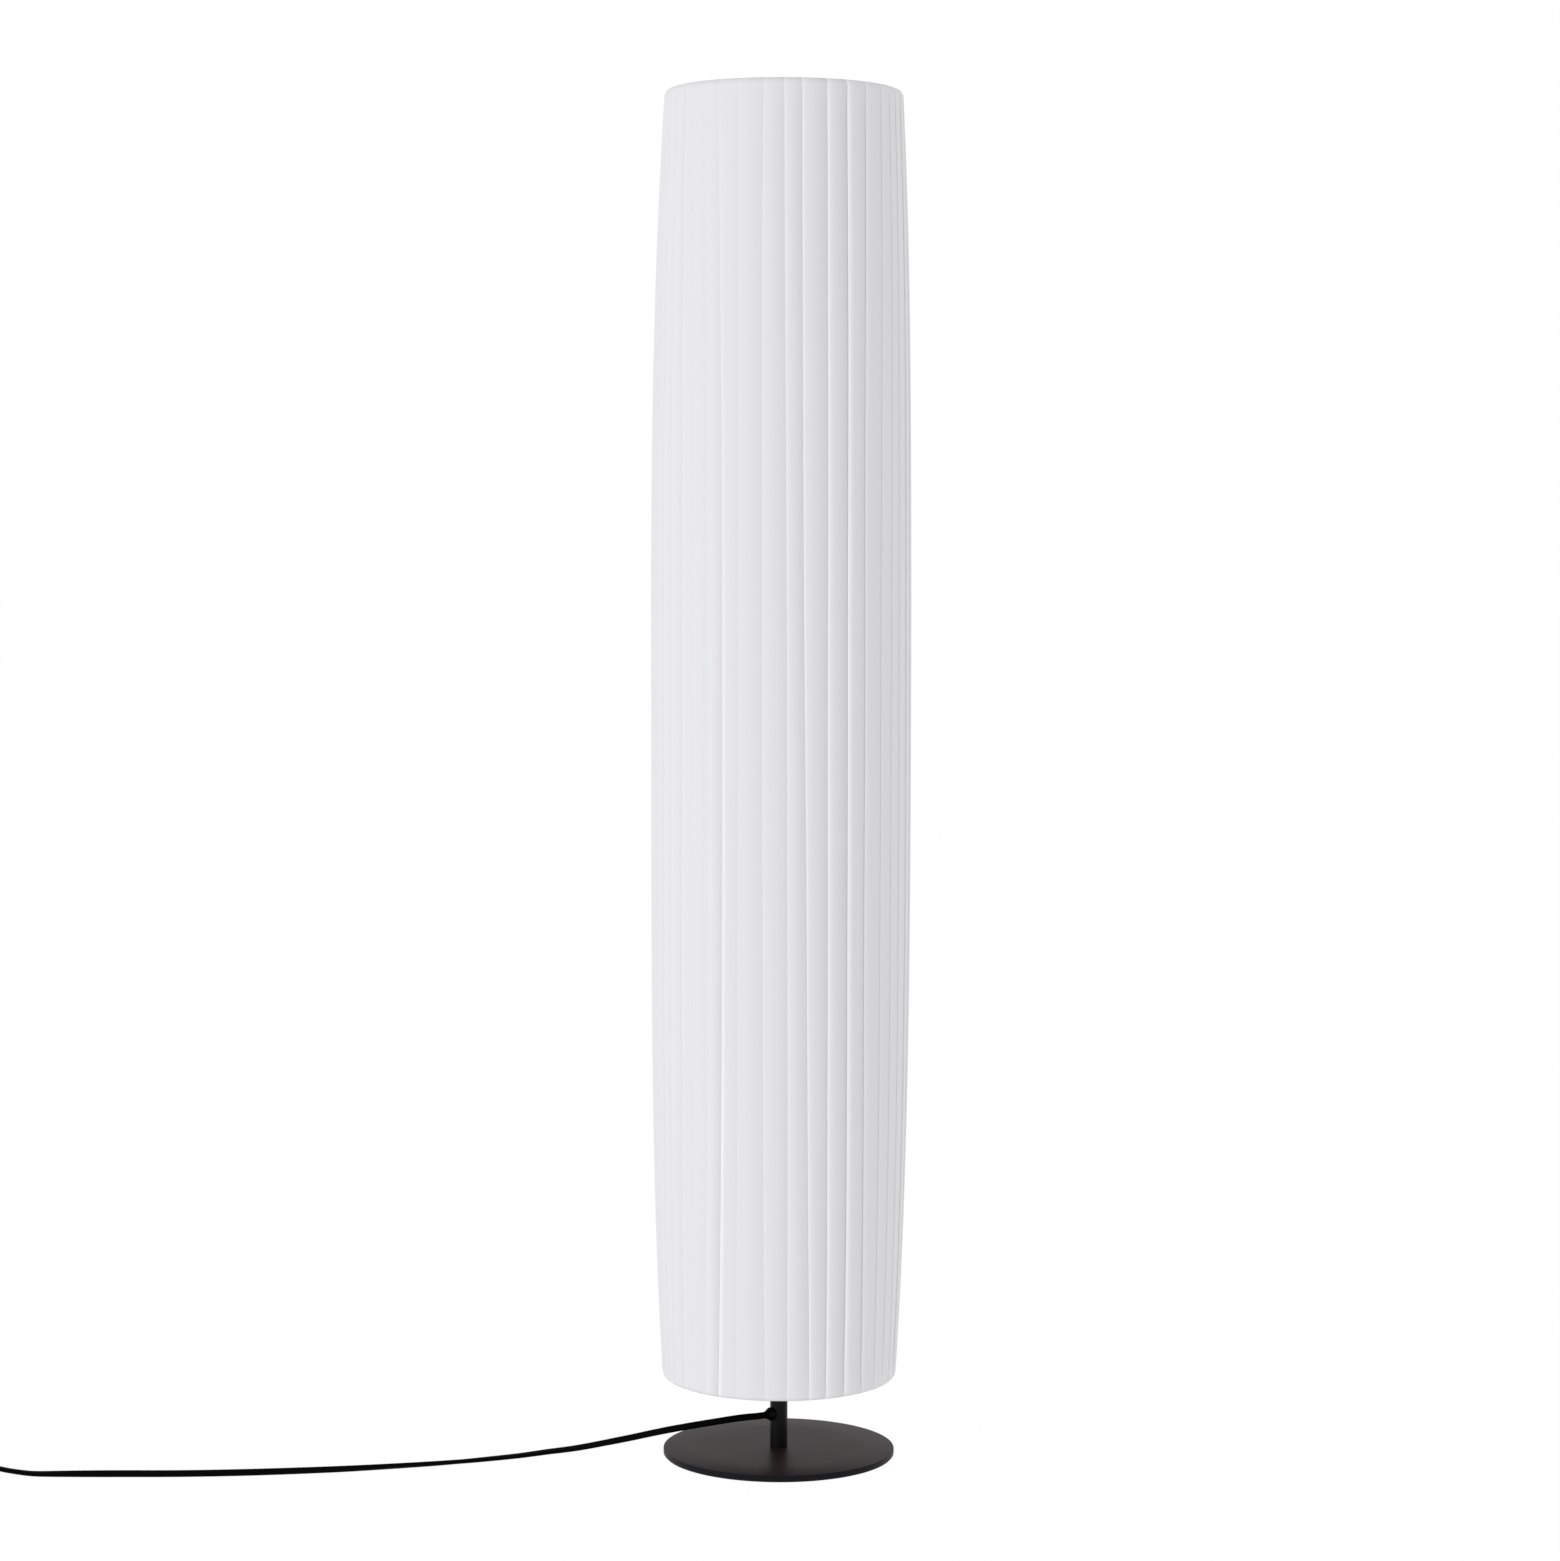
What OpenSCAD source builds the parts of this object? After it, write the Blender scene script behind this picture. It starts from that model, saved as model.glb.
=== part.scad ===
// Floor lamp: a tall pleated cloth column on a round steel base, with its supply lead.
// Millimetres, +Z up. Origin: floor level on the lamp's axis. The front faces -Y.

/* [Stand] */
// Height from the floor to the shade's upper edge
total_h = 1200; // [1050:10:1400]
// Diameter of the base plate
base_d = 205; // [185:5:280]
// Thickness of the base plate
base_t = 5; // [5:0.5:10]
// Bevel round the base plate's edges
base_bevel = 0.6; // [0.3:0.1:1.5]
// Thickness of the foam pad under the plate
pad_t = 0.8; // [0.6:0.1:3]
// How far the pad stays inside the plate's edge
pad_inset = 1; // [1:0.5:12]
// Diameter of the base screw's thread
base_screw_d = 8; // [6:1:8]
// Outer diameter of the lower post
post_d = 15.5; // [15:0.5:20]
// Wall of the lower post
post_wall = 1.5; // [1:0.1:1.7]
// Height of the lower post's top above the floor
post_top = 98; // [92:1:130]
// Outer diameter of the upper pole
pole_d = 12; // [11.5:0.1:12.5]
// Wall of the upper pole
pole_wall = 1; // [0.8:0.1:1.2]

/* [Shade] */
// Gap between the floor and the shade's lower edge
shade_gap = 71; // [68:1:80]
// Diameter over the folds at both ends
end_d = 206.6; // [190:1:240]
// Diameter over the folds at mid height
mid_d = 228; // [215:1:250]
// How squarely the sides bulge, as a power of the height
bulge_power = 3.1; // [2:0.1:4]
// Number of knife pleats
pleat_count = 40; // [36:4:48]
// Angle at which each pleat leans in under the next
pleat_lean = 5.5; // [5:0.1:7]
// How far each pleat runs on under the next, in degrees
pleat_tuck = 1.6; // [1:0.1:2]
// Thickness of the folded cloth
cloth_t = 0.8; // [0.5:0.1:0.9]
// Wire diameter of the rings and hoops
ring_wire_d = 3; // [2.5:0.1:4]
// Width of the upright ribs, which are flat strips
rib_w = 4; // [3:0.5:8]
// Thickness of the upright ribs
rib_t = 1.6; // [1.2:0.1:2.4]
// Number of upright ribs
rib_count = 6; // [6:6:12]
// Number of inner hoops
hoop_count = 3; // [2:1:5]
// Thickness of the edge binding
binding_t = 0.5; // [0.4:0.1:0.8]
// Height of the edge binding inside the rings
binding_h = 10; // [8:1:16]
// Wire diameter of the spider's arms
spider_wire_d = 3.5; // [3:0.1:4]
// How far the spider's hub lies below the shade's upper edge
hub_drop = 21; // [21:1:30]
// Wire diameter of the centring cross
cross_wire_d = 4; // [3:0.1:5]

/* [Light] */
// Height of the lower lampholder's arm
lower_arm_z = 250; // [200:5:320]
// Height of the upper lampholder's arm
upper_arm_z = 770; // [650:5:800]
// Distance of the lampholders from the lamp's axis
arm_reach = 42; // [42:1:46]
// Outer diameter of a lampholder's arm
arm_d = 10; // [9.6:0.1:10.4]
// Outer diameter of a lampholder
holder_d = 40; // [39:0.5:42]
// Height of a lampholder's barrel
barrel_h = 40; // [38:1:44]
// Diameter of the bulb's screw cap
bulb_cap_d = 26.4; // [26:0.1:26.6]
// Diameter of the bulb's globe
globe_d = 60; // [50:1:64]
// Length of the bulb from its contact to its top
bulb_l = 110; // [104:1:120]

/* [Supply] */
// Height of the lead's bush in the post
exit_z = 36.2; // [34:0.1:40]
// Direction of the bush, in degrees left of the front
exit_turn = 52; // [40:1:60]
// Diameter of the bush's flange
bush_d = 12; // [11:0.5:13]
// Width of the flat lead
lead_w = 6; // [5.6:0.1:6.2]
// Thickness of the flat lead
lead_t = 3.9; // [3.4:0.1:4]
// Turns of the put-away coil
coil_turns = 5.25; // [4.25:1:6.25]
// Radius of the coil's innermost turn
coil_inner_r = 27.5; // [26:0.5:30]
// Spacing of the coil's turns side by side
coil_pitch = 4.9; // [4.8:0.1:5.4]
// Height of one layer of the coil
coil_layer_h = 6.6; // [6.6:0.1:7.4]
// Length of the foot switch
switch_l = 86; // [80:1:88]
// Width of the foot switch
switch_w = 32; // [30:1:36]
// Height of the foot switch without its button
switch_h = 22; // [20:1:26]
// Diameter of the foot switch's button
button_d = 22; // [18:1:23]
// Travel of the foot switch's button
button_travel = 3; // [2:0.5:3]
// Diameter of the plug's pins
pin_d = 4; // [3.8:0.1:4.8]
// Length of the plug's pins
pin_l = 19; // [17:0.5:20]
// Distance between the plug's pins
pin_spacing = 18.6; // [16:0.1:19]

/* [Clearances] */
// Gap at which a moving or soft piece lies off its seat
seat = 0.3; // [0.2:0.05:0.5]
// Gap between wires that are welded at their nearest point
weld = 0.2; // [0.1:0.05:0.3]
// Radial gap of screwed and plugged pieces
slip = 0.1; // [0.05:0.01:0.15]

/* [Hidden] */
$fn = 64;

// Heights up the stand
plate_top = pad_t + base_t;
post_r = post_d / 2;
post_in_r = post_r - post_wall;
pole_r = pole_d / 2;
collar_h = 5;
spigot_h = 16;
socket_h = 14;
plug_h = 18;
pole_bottom = post_top + collar_h;
lead_way_r = 4;

// The base screw, its hex socket and its countersink
screw_head_r = base_screw_d;
screw_head_h = screw_head_r - base_screw_d / 2;
screw_reach = 14;
socket_af = 5;
socket_depth = 2;
pad_hole_r = screw_head_r + 4;

// The top of the pole: stud, hub, washer and finial in one stack
stud_r = 4;
stud_flange_r = 8;
stud_flange_h = 3;
hub_r = 12;
hub_t = 4.2;
washer_r = 9;
washer_t = 1.2;
finial_r = 8;
finial_h = 13.4;
finial_flutes = 12;
finial_wall = 4;
hub_z = total_h - hub_drop;
flange_z = hub_z - seat - stud_flange_h;
washer_z = hub_z + hub_t + weld;
finial_z = washer_z + washer_t + seat;
stud_top = finial_z + finial_h - finial_wall - seat;

// The shade's outline and the cloth's inner side
shade_h = total_h - shade_gap;
shade_mid_z = shade_gap + shade_h / 2;
cloth_steps = 16;
pleat_pitch = 360 / pleat_count;
pleat_span = pleat_pitch + pleat_tuck;
function shade_r(z) =
    mid_d / 2 - (mid_d - end_d) / 2 * pow(min(1, abs(z - shade_mid_z) / (shade_h / 2)), bulge_power);
function leaned(r, a) = norm([
    end_d / 2 * (1 - cos(pleat_lean)) + r * cos(a + pleat_lean),
    r * sin(a + pleat_lean) - end_d / 2 * sin(pleat_lean)
]);
function cloth_in_r(z) = leaned(shade_r(z) - cloth_t, pleat_span);

// Rings, hoops and ribs stand just inside the cloth
ring_wire_r = ring_wire_d / 2;
ring_low_z = shade_gap + binding_t + weld + ring_wire_r;
ring_high_z = total_h - binding_t - weld - ring_wire_r;
ring_r = cloth_in_r(shade_gap) - seat - ring_wire_r;
function hoop_z(i) = shade_gap + shade_h * (i + 1) / (hoop_count + 1);
function hoop_r(i) = cloth_in_r(hoop_z(i)) - seat - ring_wire_r;
rib_ends = [ring_low_z + ring_wire_r + weld, ring_high_z - ring_wire_r - weld];
rib_path = concat(
    [[ring_r + rib_t / 2, rib_ends[0]]],
    [for (i = [0 : hoop_count - 1]) [hoop_r(i) - ring_wire_r - weld, hoop_z(i)]],
    [[ring_r + rib_t / 2, rib_ends[1]]]
);
binding_out_r = ring_r - ring_wire_r - weld;
binding_in_r = binding_out_r - binding_t;
arm_count = 3;
arm_start = 90;
spider_wire_r = spider_wire_d / 2;
cross_wire_r = cross_wire_d / 2;
cross_hub_r = post_r + 4;
cross_hub_h = 8;
cross_tip_r = binding_in_r - seat;

// Lampholder arms, lampholders and bulbs
arm_r = arm_d / 2;
arm_way_r = arm_r - 1.4;
arm_collar_r = pole_r + 3.5;
arm_collar_h = 16;
arm_rise = 9;
arm_thread_h = 7;
side_hole_r = 4;
light_z = [lower_arm_z, upper_arm_z];
light_az = [90, 270];
holder_r = holder_d / 2;
holder_wall = 2;
neck_r = 8;
neck_h = 6;
holder_cap_h = 22;
web_z = holder_cap_h + 2;
web_t = 6;
thread_in_r = bulb_cap_d / 2 + 0.4;
thread_wall = 0.6;
thread_out_r = thread_in_r + thread_wall;
thread_z = web_z + web_t + weld;
thread_h = barrel_h - 16;
barrel_in_r = thread_out_r + weld;
contact_w = 5;
contact_l = 18;
contact_t = 0.6;
contact_rise = 4;
contact_foot = 4;
contact_z = web_z + web_t;
tip_z = contact_z + contact_rise + contact_t + seat;
bulb_cap_r = bulb_cap_d / 2;
bulb_cap_z = tip_z + 5;
bulb_cap_h = 18;
housing_z = bulb_cap_z + bulb_cap_h;
housing_neck_r = bulb_cap_r + 0.6;
globe_r = globe_d / 2;
globe_z = tip_z + bulb_l - globe_r;
globe_cut = 9;
globe_rim_z = globe_z - globe_cut;
globe_rim_r = sqrt(globe_r * globe_r - globe_cut * globe_cut);
globe_wall = 1.2;
housing_steps = 10;
inner_lead_r = 1.4;
lead_side = 1.6;

// Grub screws that clamp the arms and the cross
grub_r = 2;
grub_l = 3.4;

// The bush in the post, along its own outward direction
exit_az = 270 - exit_turn;
bush_body_r = 4.4;
bush_in = post_in_r - 2;
bush_flange_t = 3;
bush_nose = 3;
bush_out = post_r + bush_flange_t + bush_nose;

// The lead's way: x, y, height and roll of its flat side, from the bush to the foot switch
run_points = [
    [-18, -14, 36.4, 70], [-26, -17.5, 36.5, 70], [-36, -19.5, 35.8, 70], [-48, -20, 34, 70],
    [-62, -19.5, 31.5, 69], [-78, -18.5, 28.5, 68], [-95, -17, 25, 66], [-112, -15, 21, 60],
    [-130, -13, 16.5, 52], [-148, -11.5, 12.4, 44], [-165, -10, 8.6, 36], [-180, -9, 5.6, 30],
    [-193, -8.5, 3.6, 24], [-204, -10, 2.6, 18], [-216, -15.5, 2.2, 12], [-230, -23, 2.1, 6],
    [-250, -32, 2.1, 0], [-275, -42.5, 2.2, -12], [-305, -53, 2.4, -28], [-340, -63, 2.6, -42],
    [-380, -73.5, 2.9, -62], [-425, -82, 3.1, -78], [-470, -88, 3.1, -90], [-520, -92, 3.1, -90],
    [-570, -93, 3.1, -105], [-612, -93, 2.8, -140], [-645, -92.5, 2.6, -170], [-666, -92, 5, -180],
    [-683, -92, 8.4, -180]
];
run_sides = 8;
run_parts = 2;
switch_x = -733;
switch_y = -92;
switch_split = 9;
switch_wall = 2;
switch_lid_t = 3;
switch_grip = 6;
switch_ceiling = switch_h - switch_lid_t;
switch_boss_r = 3;
switch_end_r = 6;
switch_waist = 13;
switch_arc_steps = 8;
switch_step = 1.5;
switch_screw_r = 1.5;
switch_screw_x = 21;
switch_screw_y = 9;

// The coil beside the foot switch, wound clockwise from its lower left
coil_x = -840;
coil_sides = 6;
coil_rings = 24;
coil_lift = 0.9;
coil_low_z = coil_lift + lead_w / 2;
coil_half = coil_turns / 2;
coil_outer_r = coil_inner_r + coil_pitch * coil_half;
coil_y = switch_y + coil_outer_r;
coil_start_az = 270;
coil_last = round(coil_turns * coil_rings);
tie_w = 9;
tie_t = 0.6;
tie_az = 20;
link_points = [[-782, -92, 8.7, -180], [-792, -92, 7.4, -215], [-803, -92, 5.4, -250],
    [-814, -92, 4.2, -268]];

// The plug at the coil's end, lying beside it
tail_out = coil_x - coil_outer_r;
plug_y = 2;
neck_l = 14;
body_l = 36;
plug_front_w = 35;
plug_back_w = 16;
plug_t = 13.7;
plug_z = plug_t / 2;
plug_neck_r = 4.6;
tail_points = [[-28, 9.9], [-19, 8.6], [-10, 7.4]];

// Points along a smooth line through given points, each with its roll as a fourth value
function place(p) = [p[0], p[1], p[2]];
function pull(p, i) =
    i == 0 ? p[1] - p[0] : i == len(p) - 1 ? p[i] - p[i - 1] :
    let (
        chord = p[i + 1] - p[i - 1],
        reach = min(norm(place(p[i] - p[i - 1])), norm(place(p[i + 1] - p[i])))
    )
    chord * reach / norm(place(chord));
function between(p, i, t) =
    p[i] * (2 * t ^ 3 - 3 * t ^ 2 + 1) + p[i + 1] * (3 * t ^ 2 - 2 * t ^ 3)
        + pull(p, i) * (t ^ 3 - 2 * t ^ 2 + t) + pull(p, i + 1) * (t ^ 3 - t ^ 2);
function smooth_line(p, parts) = concat(
    [for (i = [0 : len(p) - 2], k = [0 : parts - 1]) between(p, i, k / parts)],
    [p[len(p) - 1]]
);
function unit(v) = v / norm(v);
function heading(p, i) = unit(place(p[min(i + 1, len(p) - 1)]) - place(p[max(i - 1, 0)]));

// One ring of an oval tube: w across its flat side, t through it
function ring_at(p, i, w, t, sides, ref) =
    let (
        along = heading(p, i),
        side = unit(cross(along, ref)),
        up = cross(side, along),
        roll = p[i][3]
    )
    [for (k = [0 : sides - 1])
        let (
            a = 360 * (k + 0.5) / sides,
            across = w / 2 * cos(a),
            through = t / 2 * sin(a)
        )
        place(p[i]) + side * (across * cos(roll) - through * sin(roll))
            + up * (across * sin(roll) + through * cos(roll))];

// A closed tube over a list of rings that all have the same number of points
module skin(rings) {
    sides = len(rings[0]);
    last = len(rings) - 1;
    polyhedron(
        points = [for (r = rings, q = r) q],
        faces = concat(
            [[for (k = [sides - 1 : -1 : 0]) k]],
            [for (i = [0 : last - 1], k = [0 : sides - 1], half = [0, 1])
                let (
                    a = i * sides + k,
                    b = i * sides + (k + 1) % sides
                )
                half == 0 ? [a, b + sides, a + sides] : [a, b, b + sides]],
            [[for (k = [0 : sides - 1]) last * sides + k]]
        )
    );
}

module oval_tube(points, w, t, sides, ref = [0, 0, 1]) {
    skin([for (i = [0 : len(points) - 1]) ring_at(points, i, w, t, sides, ref)]);
}

module ring_of_wire(r, z, wire_r) {
    translate([0, 0, z]) rotate_extrude() translate([r, 0]) circle(wire_r);
}

// A straight wire in the XZ plane between two points given as radius and height
module straight_wire(from, to, wire_r) {
    run = to - from;
    translate([from[0], 0, from[1]]) rotate([0, 90 - atan2(run[1], run[0]), 0])
        cylinder(r = wire_r, h = norm(run));
}

// Base
module base_pad() {
    color("dimgray") difference() {
        cylinder(d = base_d - 2 * pad_inset, h = pad_t);
        translate([0, 0, -1]) cylinder(r = pad_hole_r, h = pad_t + 2);
    }
}

module base_plate() {
    head = screw_head_r + seat + slip;
    color([0.17, 0.16, 0.16]) difference() {
        translate([0, 0, pad_t]) rotate_extrude() polygon([
            [0, 0], [base_d / 2 - base_bevel, 0], [base_d / 2, base_bevel],
            [base_d / 2, base_t - base_bevel], [base_d / 2 - base_bevel, base_t], [0, base_t]
        ]);
        translate([0, 0, pad_t]) rotate_extrude() polygon([
            [0, -1], [head, -1], [head, 0], [head - screw_head_h, screw_head_h],
            [head - screw_head_h, base_t + 1], [0, base_t + 1]
        ]);
    }
}

module base_screw() {
    color("silver") translate([0, 0, pad_t + seat]) difference() {
        rotate_extrude() polygon([
            [0, 0], [screw_head_r, 0], [base_screw_d / 2, screw_head_h],
            [base_screw_d / 2, base_t - seat + screw_reach - 1],
            [base_screw_d / 2 - 1, base_t - seat + screw_reach], [0, base_t - seat + screw_reach]
        ]);
        translate([0, 0, -1])
            cylinder(r = socket_af / 2 / cos(30), h = socket_depth + 1, $fn = 6);
    }
}

module foot_plug() {
    color("silver") translate([0, 0, plate_top]) difference() {
        cylinder(r = post_in_r - slip, h = plug_h);
        translate([0, 0, -1]) cylinder(r = base_screw_d / 2 + slip, h = screw_reach + 2);
    }
}

// Post and pole
module lower_post() {
    color([0.08, 0.08, 0.09]) difference() {
        translate([0, 0, plate_top]) cylinder(r = post_r, h = post_top - plate_top);
        translate([0, 0, plate_top - 1]) cylinder(r = post_in_r, h = post_top - plate_top + 2);
        translate([0, 0, exit_z]) rotate([0, 90, exit_az])
            cylinder(r = bush_body_r + slip, h = post_d);
    }
}

module pole_joint() {
    color("silver") translate([0, 0, post_top]) rotate_extrude() polygon([
        [lead_way_r, -spigot_h], [post_in_r - slip, -spigot_h], [post_in_r - slip, 0],
        [post_r, 0], [post_r, collar_h + socket_h - 1], [post_r - 1, collar_h + socket_h],
        [pole_r + slip, collar_h + socket_h], [pole_r + slip, collar_h], [lead_way_r, collar_h]
    ]);
}

module upper_pole() {
    color([0.08, 0.08, 0.09]) difference() {
        translate([0, 0, pole_bottom]) cylinder(r = pole_r, h = flange_z - pole_bottom);
        translate([0, 0, pole_bottom - 1])
            cylinder(r = pole_r - pole_wall, h = flange_z - pole_bottom + 2);
        for (i = [0, 1])
            translate([0, 0, light_z[i]]) rotate([0, 90, light_az[i]])
                cylinder(r = side_hole_r, h = pole_d);
    }
}

module pole_stud() {
    color("silver") translate([0, 0, flange_z]) rotate_extrude() polygon([
        [0, -spigot_h], [pole_r - pole_wall - slip, -spigot_h], [pole_r - pole_wall - slip, 0],
        [stud_flange_r, 0], [stud_flange_r, stud_flange_h], [stud_r, stud_flange_h],
        [stud_r, stud_top - flange_z - 1], [stud_r - 1, stud_top - flange_z],
        [0, stud_top - flange_z]
    ]);
}

module centring_cross() {
    color("white") difference() {
        union() {
            translate([0, 0, ring_low_z - cross_hub_h / 2]) cylinder(r = cross_hub_r, h = cross_hub_h);
            for (i = [0 : arm_count - 1])
                translate([0, 0, ring_low_z]) rotate([0, 90, arm_start + 360 / arm_count * i])
                    translate([0, 0, post_r + 1]) cylinder(r = cross_wire_r, h = cross_tip_r - post_r - 1);
        }
        translate([0, 0, ring_low_z - cross_hub_h]) cylinder(r = post_r + slip, h = 2 * cross_hub_h);
        grub_hole(ring_low_z, post_r, arm_start + 180 / arm_count);
    }
}

// A grub screw points at the axis from outside a collar round a tube of radius r
module grub_hole(z, r, az) {
    translate([0, 0, z]) rotate([0, 90, az]) translate([0, 0, r])
        cylinder(r = grub_r + slip, h = 2 * grub_l);
}

module grub_screw(z, r, az) {
    translate([0, 0, z]) rotate([0, 90, az]) translate([0, 0, r + weld]) difference() {
        cylinder(r = grub_r, h = grub_l);
        translate([0, 0, grub_l / 2]) cylinder(r = grub_r / 2, h = grub_l, $fn = 6);
    }
}

module grub_screws() {
    color("silver") {
        grub_screw(ring_low_z, post_r, arm_start + 180 / arm_count);
        for (i = [0, 1])
            grub_screw(light_z[i], pole_r, light_az[i] + 180);
    }
}

// Lampholder arms
module at_arm(i) {
    translate([0, 0, light_z[i]]) rotate([0, 0, light_az[i]]) children();
}

module holder_arm(i) {
    color([0.08, 0.08, 0.09]) at_arm(i) difference() {
        union() {
            translate([0, 0, -arm_collar_h / 2]) cylinder(r = arm_collar_r, h = arm_collar_h);
            rotate([0, 90, 0]) cylinder(r = arm_r, h = arm_reach);
            translate([arm_reach, 0, 0]) sphere(arm_r);
            translate([arm_reach, 0, 0]) cylinder(r = arm_r, h = arm_rise);
            translate([arm_reach, 0, 0]) cylinder(r = arm_r - 0.6, h = arm_rise + arm_thread_h);
        }
        translate([0, 0, -arm_collar_h]) cylinder(r = pole_r + slip, h = 2 * arm_collar_h);
        rotate([0, 90, 0]) cylinder(r = arm_way_r, h = arm_reach);
        translate([arm_reach, 0, 0]) sphere(arm_way_r);
        translate([arm_reach, 0, 0]) cylinder(r = arm_way_r, h = arm_rise + arm_thread_h + 1);
        grub_hole(0, pole_r, 180);
    }
}

// Lampholders and bulbs stand on the arms' ends
module at_light(i) {
    at_arm(i) translate([arm_reach, 0, arm_rise]) children();
}

module holder_cap(i) {
    color([0.92, 0.92, 0.9]) at_light(i) rotate_extrude() polygon([
        [arm_r - 0.6 + slip, 0], [neck_r, 0], [neck_r, neck_h], [holder_r - 4, neck_h + 5],
        [holder_r, neck_h + 11], [holder_r, holder_cap_h], [holder_r - holder_wall, holder_cap_h],
        [holder_r - holder_wall, neck_h + 12], [holder_r - 5, neck_h + 7],
        [arm_r - 0.6 + slip, neck_h + 2]
    ]);
}

module holder_barrel(i) {
    color([0.92, 0.92, 0.9]) at_light(i) difference() {
        union() {
            translate([0, 0, holder_cap_h]) cylinder(r = holder_r, h = barrel_h - 3);
            translate([0, 0, holder_cap_h]) cylinder(r = holder_r - 1.5, h = barrel_h);
        }
        translate([0, 0, web_z + web_t]) cylinder(r = barrel_in_r, h = barrel_h);
        translate([0, 0, holder_cap_h - 1]) cylinder(r = barrel_in_r, h = web_z - holder_cap_h + 1);
        for (side = [-1, 1])
            translate([side * contact_l / 3, side * contact_w, web_z - 1])
                cylinder(r = 1.6, h = web_t + 2);
    }
}

module holder_thread(i) {
    color("gold") at_light(i) translate([0, 0, thread_z]) difference() {
        cylinder(r = thread_out_r, h = thread_h);
        translate([0, 0, -1]) cylinder(r = thread_in_r, h = thread_h + 2);
    }
}

module holder_contact(i) {
    rise = contact_rise + contact_t;
    color("gold") at_light(i) translate([0, contact_w / 2, contact_z]) rotate([90, 0, 0])
        linear_extrude(contact_w) polygon([
            [-contact_l / 2, 0], [-contact_l / 2 + contact_foot, 0], [1, contact_rise],
            [contact_foot + 1, contact_rise], [contact_foot + 1, rise], [0.7, rise],
            [-contact_l / 2 + contact_foot - 0.3, contact_t], [-contact_l / 2, contact_t]
        ]);
}

module bulb_cap(i) {
    color("silver") at_light(i) translate([0, 0, bulb_cap_z]) difference() {
        cylinder(r = bulb_cap_r, h = bulb_cap_h);
        translate([0, 0, -1]) cylinder(r = bulb_cap_r - 1, h = bulb_cap_h + 2);
    }
}

module bulb_contact(i) {
    color("dimgray") at_light(i) rotate_extrude() polygon([
        [0, tip_z], [2.5, tip_z], [4.5, tip_z + 1], [4.8, tip_z + 1.8], [9, tip_z + 3],
        [bulb_cap_r - 1 - slip, bulb_cap_z], [bulb_cap_r - 1 - slip, bulb_cap_z + 4],
        [0, bulb_cap_z + 4]
    ]);
}

function housing_r(t) = housing_neck_r + (globe_rim_r - housing_neck_r) * pow(sin(90 * t), 1.35);

module bulb_housing(i) {
    straight_z = housing_z + 7;
    color([0.95, 0.95, 0.94]) at_light(i) rotate_extrude() polygon(concat(
        [[0, housing_z], [housing_neck_r, housing_z]],
        [for (k = [0 : housing_steps])
            [housing_r(k / housing_steps), straight_z + (globe_rim_z - straight_z) * k / housing_steps]],
        [[0, globe_rim_z]]
    ));
}

module bulb_globe(i) {
    color([1, 1, 0.97]) at_light(i) difference() {
        translate([0, 0, globe_z]) sphere(globe_r);
        translate([0, 0, globe_z]) sphere(globe_r - globe_wall);
        translate([0, 0, globe_rim_z - globe_r]) cylinder(r = globe_r, h = globe_r);
    }
}

// Inner leads: out of the bush, up the post and pole, and through the arms
module inner_lead(points) {
    color("dimgray")
        oval_tube(smooth_line([for (p = points) [p[0], p[1], p[2], 0]], 2), 2 * inner_lead_r,
            2 * inner_lead_r, 6, [1, -0.3, 0.2]);
}

// An inner lead's way out of the pole, from below or above, and through an arm to its lampholder
function arm_way(i, side, from) =
    let (
        z = light_z[i],
        s = light_az[i] == 90 ? 1 : -1
    )
    [[side, -s, z + 9 * from], [side, 0, z + 3.5 * from], [side, s * 3, z + 0.4 * from],
        [side, s * 8, z], [side, s * (arm_reach - 12), z], [side, s * (arm_reach - 3.5), z + 0.3],
        [side, s * (arm_reach - 0.6), z + 3], [side, s * arm_reach, z + 8],
        [side, s * arm_reach, z + arm_rise + arm_thread_h]];

function back_to_front(p) = [for (k = [len(p) - 1 : -1 : 0]) p[k]];

module lower_lead() {
    out = [cos(exit_az), sin(exit_az), 0];
    bush = [0, 0, exit_z];
    inner_lead(concat(
        [bush + out * (bush_in - weld), bush + out * (bush_in - 1.5), bush + out * 1.1 + [0, 0, 1.6],
            bush + [0, 0, 6], bush + [0, 0, 16], [0, 0, post_top], [0, 0, lower_arm_z - 24]],
        arm_way(0, -lead_side, -1)
    ));
}

module upper_lead() {
    inner_lead(concat(
        back_to_front(arm_way(0, lead_side, 1)),
        [[0, 0, lower_arm_z + 24], [0, 0, upper_arm_z - 24]],
        arm_way(1, 0, -1)
    ));
}

// Shade frame
module shade_top_ring() {
    color("white") ring_of_wire(ring_r, ring_high_z, ring_wire_r);
}

module shade_bottom_ring() {
    color("white") ring_of_wire(ring_r, ring_low_z, ring_wire_r);
}

module shade_hoops() {
    color("white") for (i = [0 : hoop_count - 1]) ring_of_wire(hoop_r(i), hoop_z(i), ring_wire_r);
}

module shade_ribs() {
    back = [for (k = [len(rib_path) - 1 : -1 : 0]) rib_path[k] - [rib_t, 0]];
    color("white") for (i = [0 : rib_count - 1])
        rotate([0, 0, 360 / rib_count * i]) translate([0, rib_w / 2, 0]) rotate([90, 0, 0])
            linear_extrude(rib_w) polygon(concat(rib_path, back));
}

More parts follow.
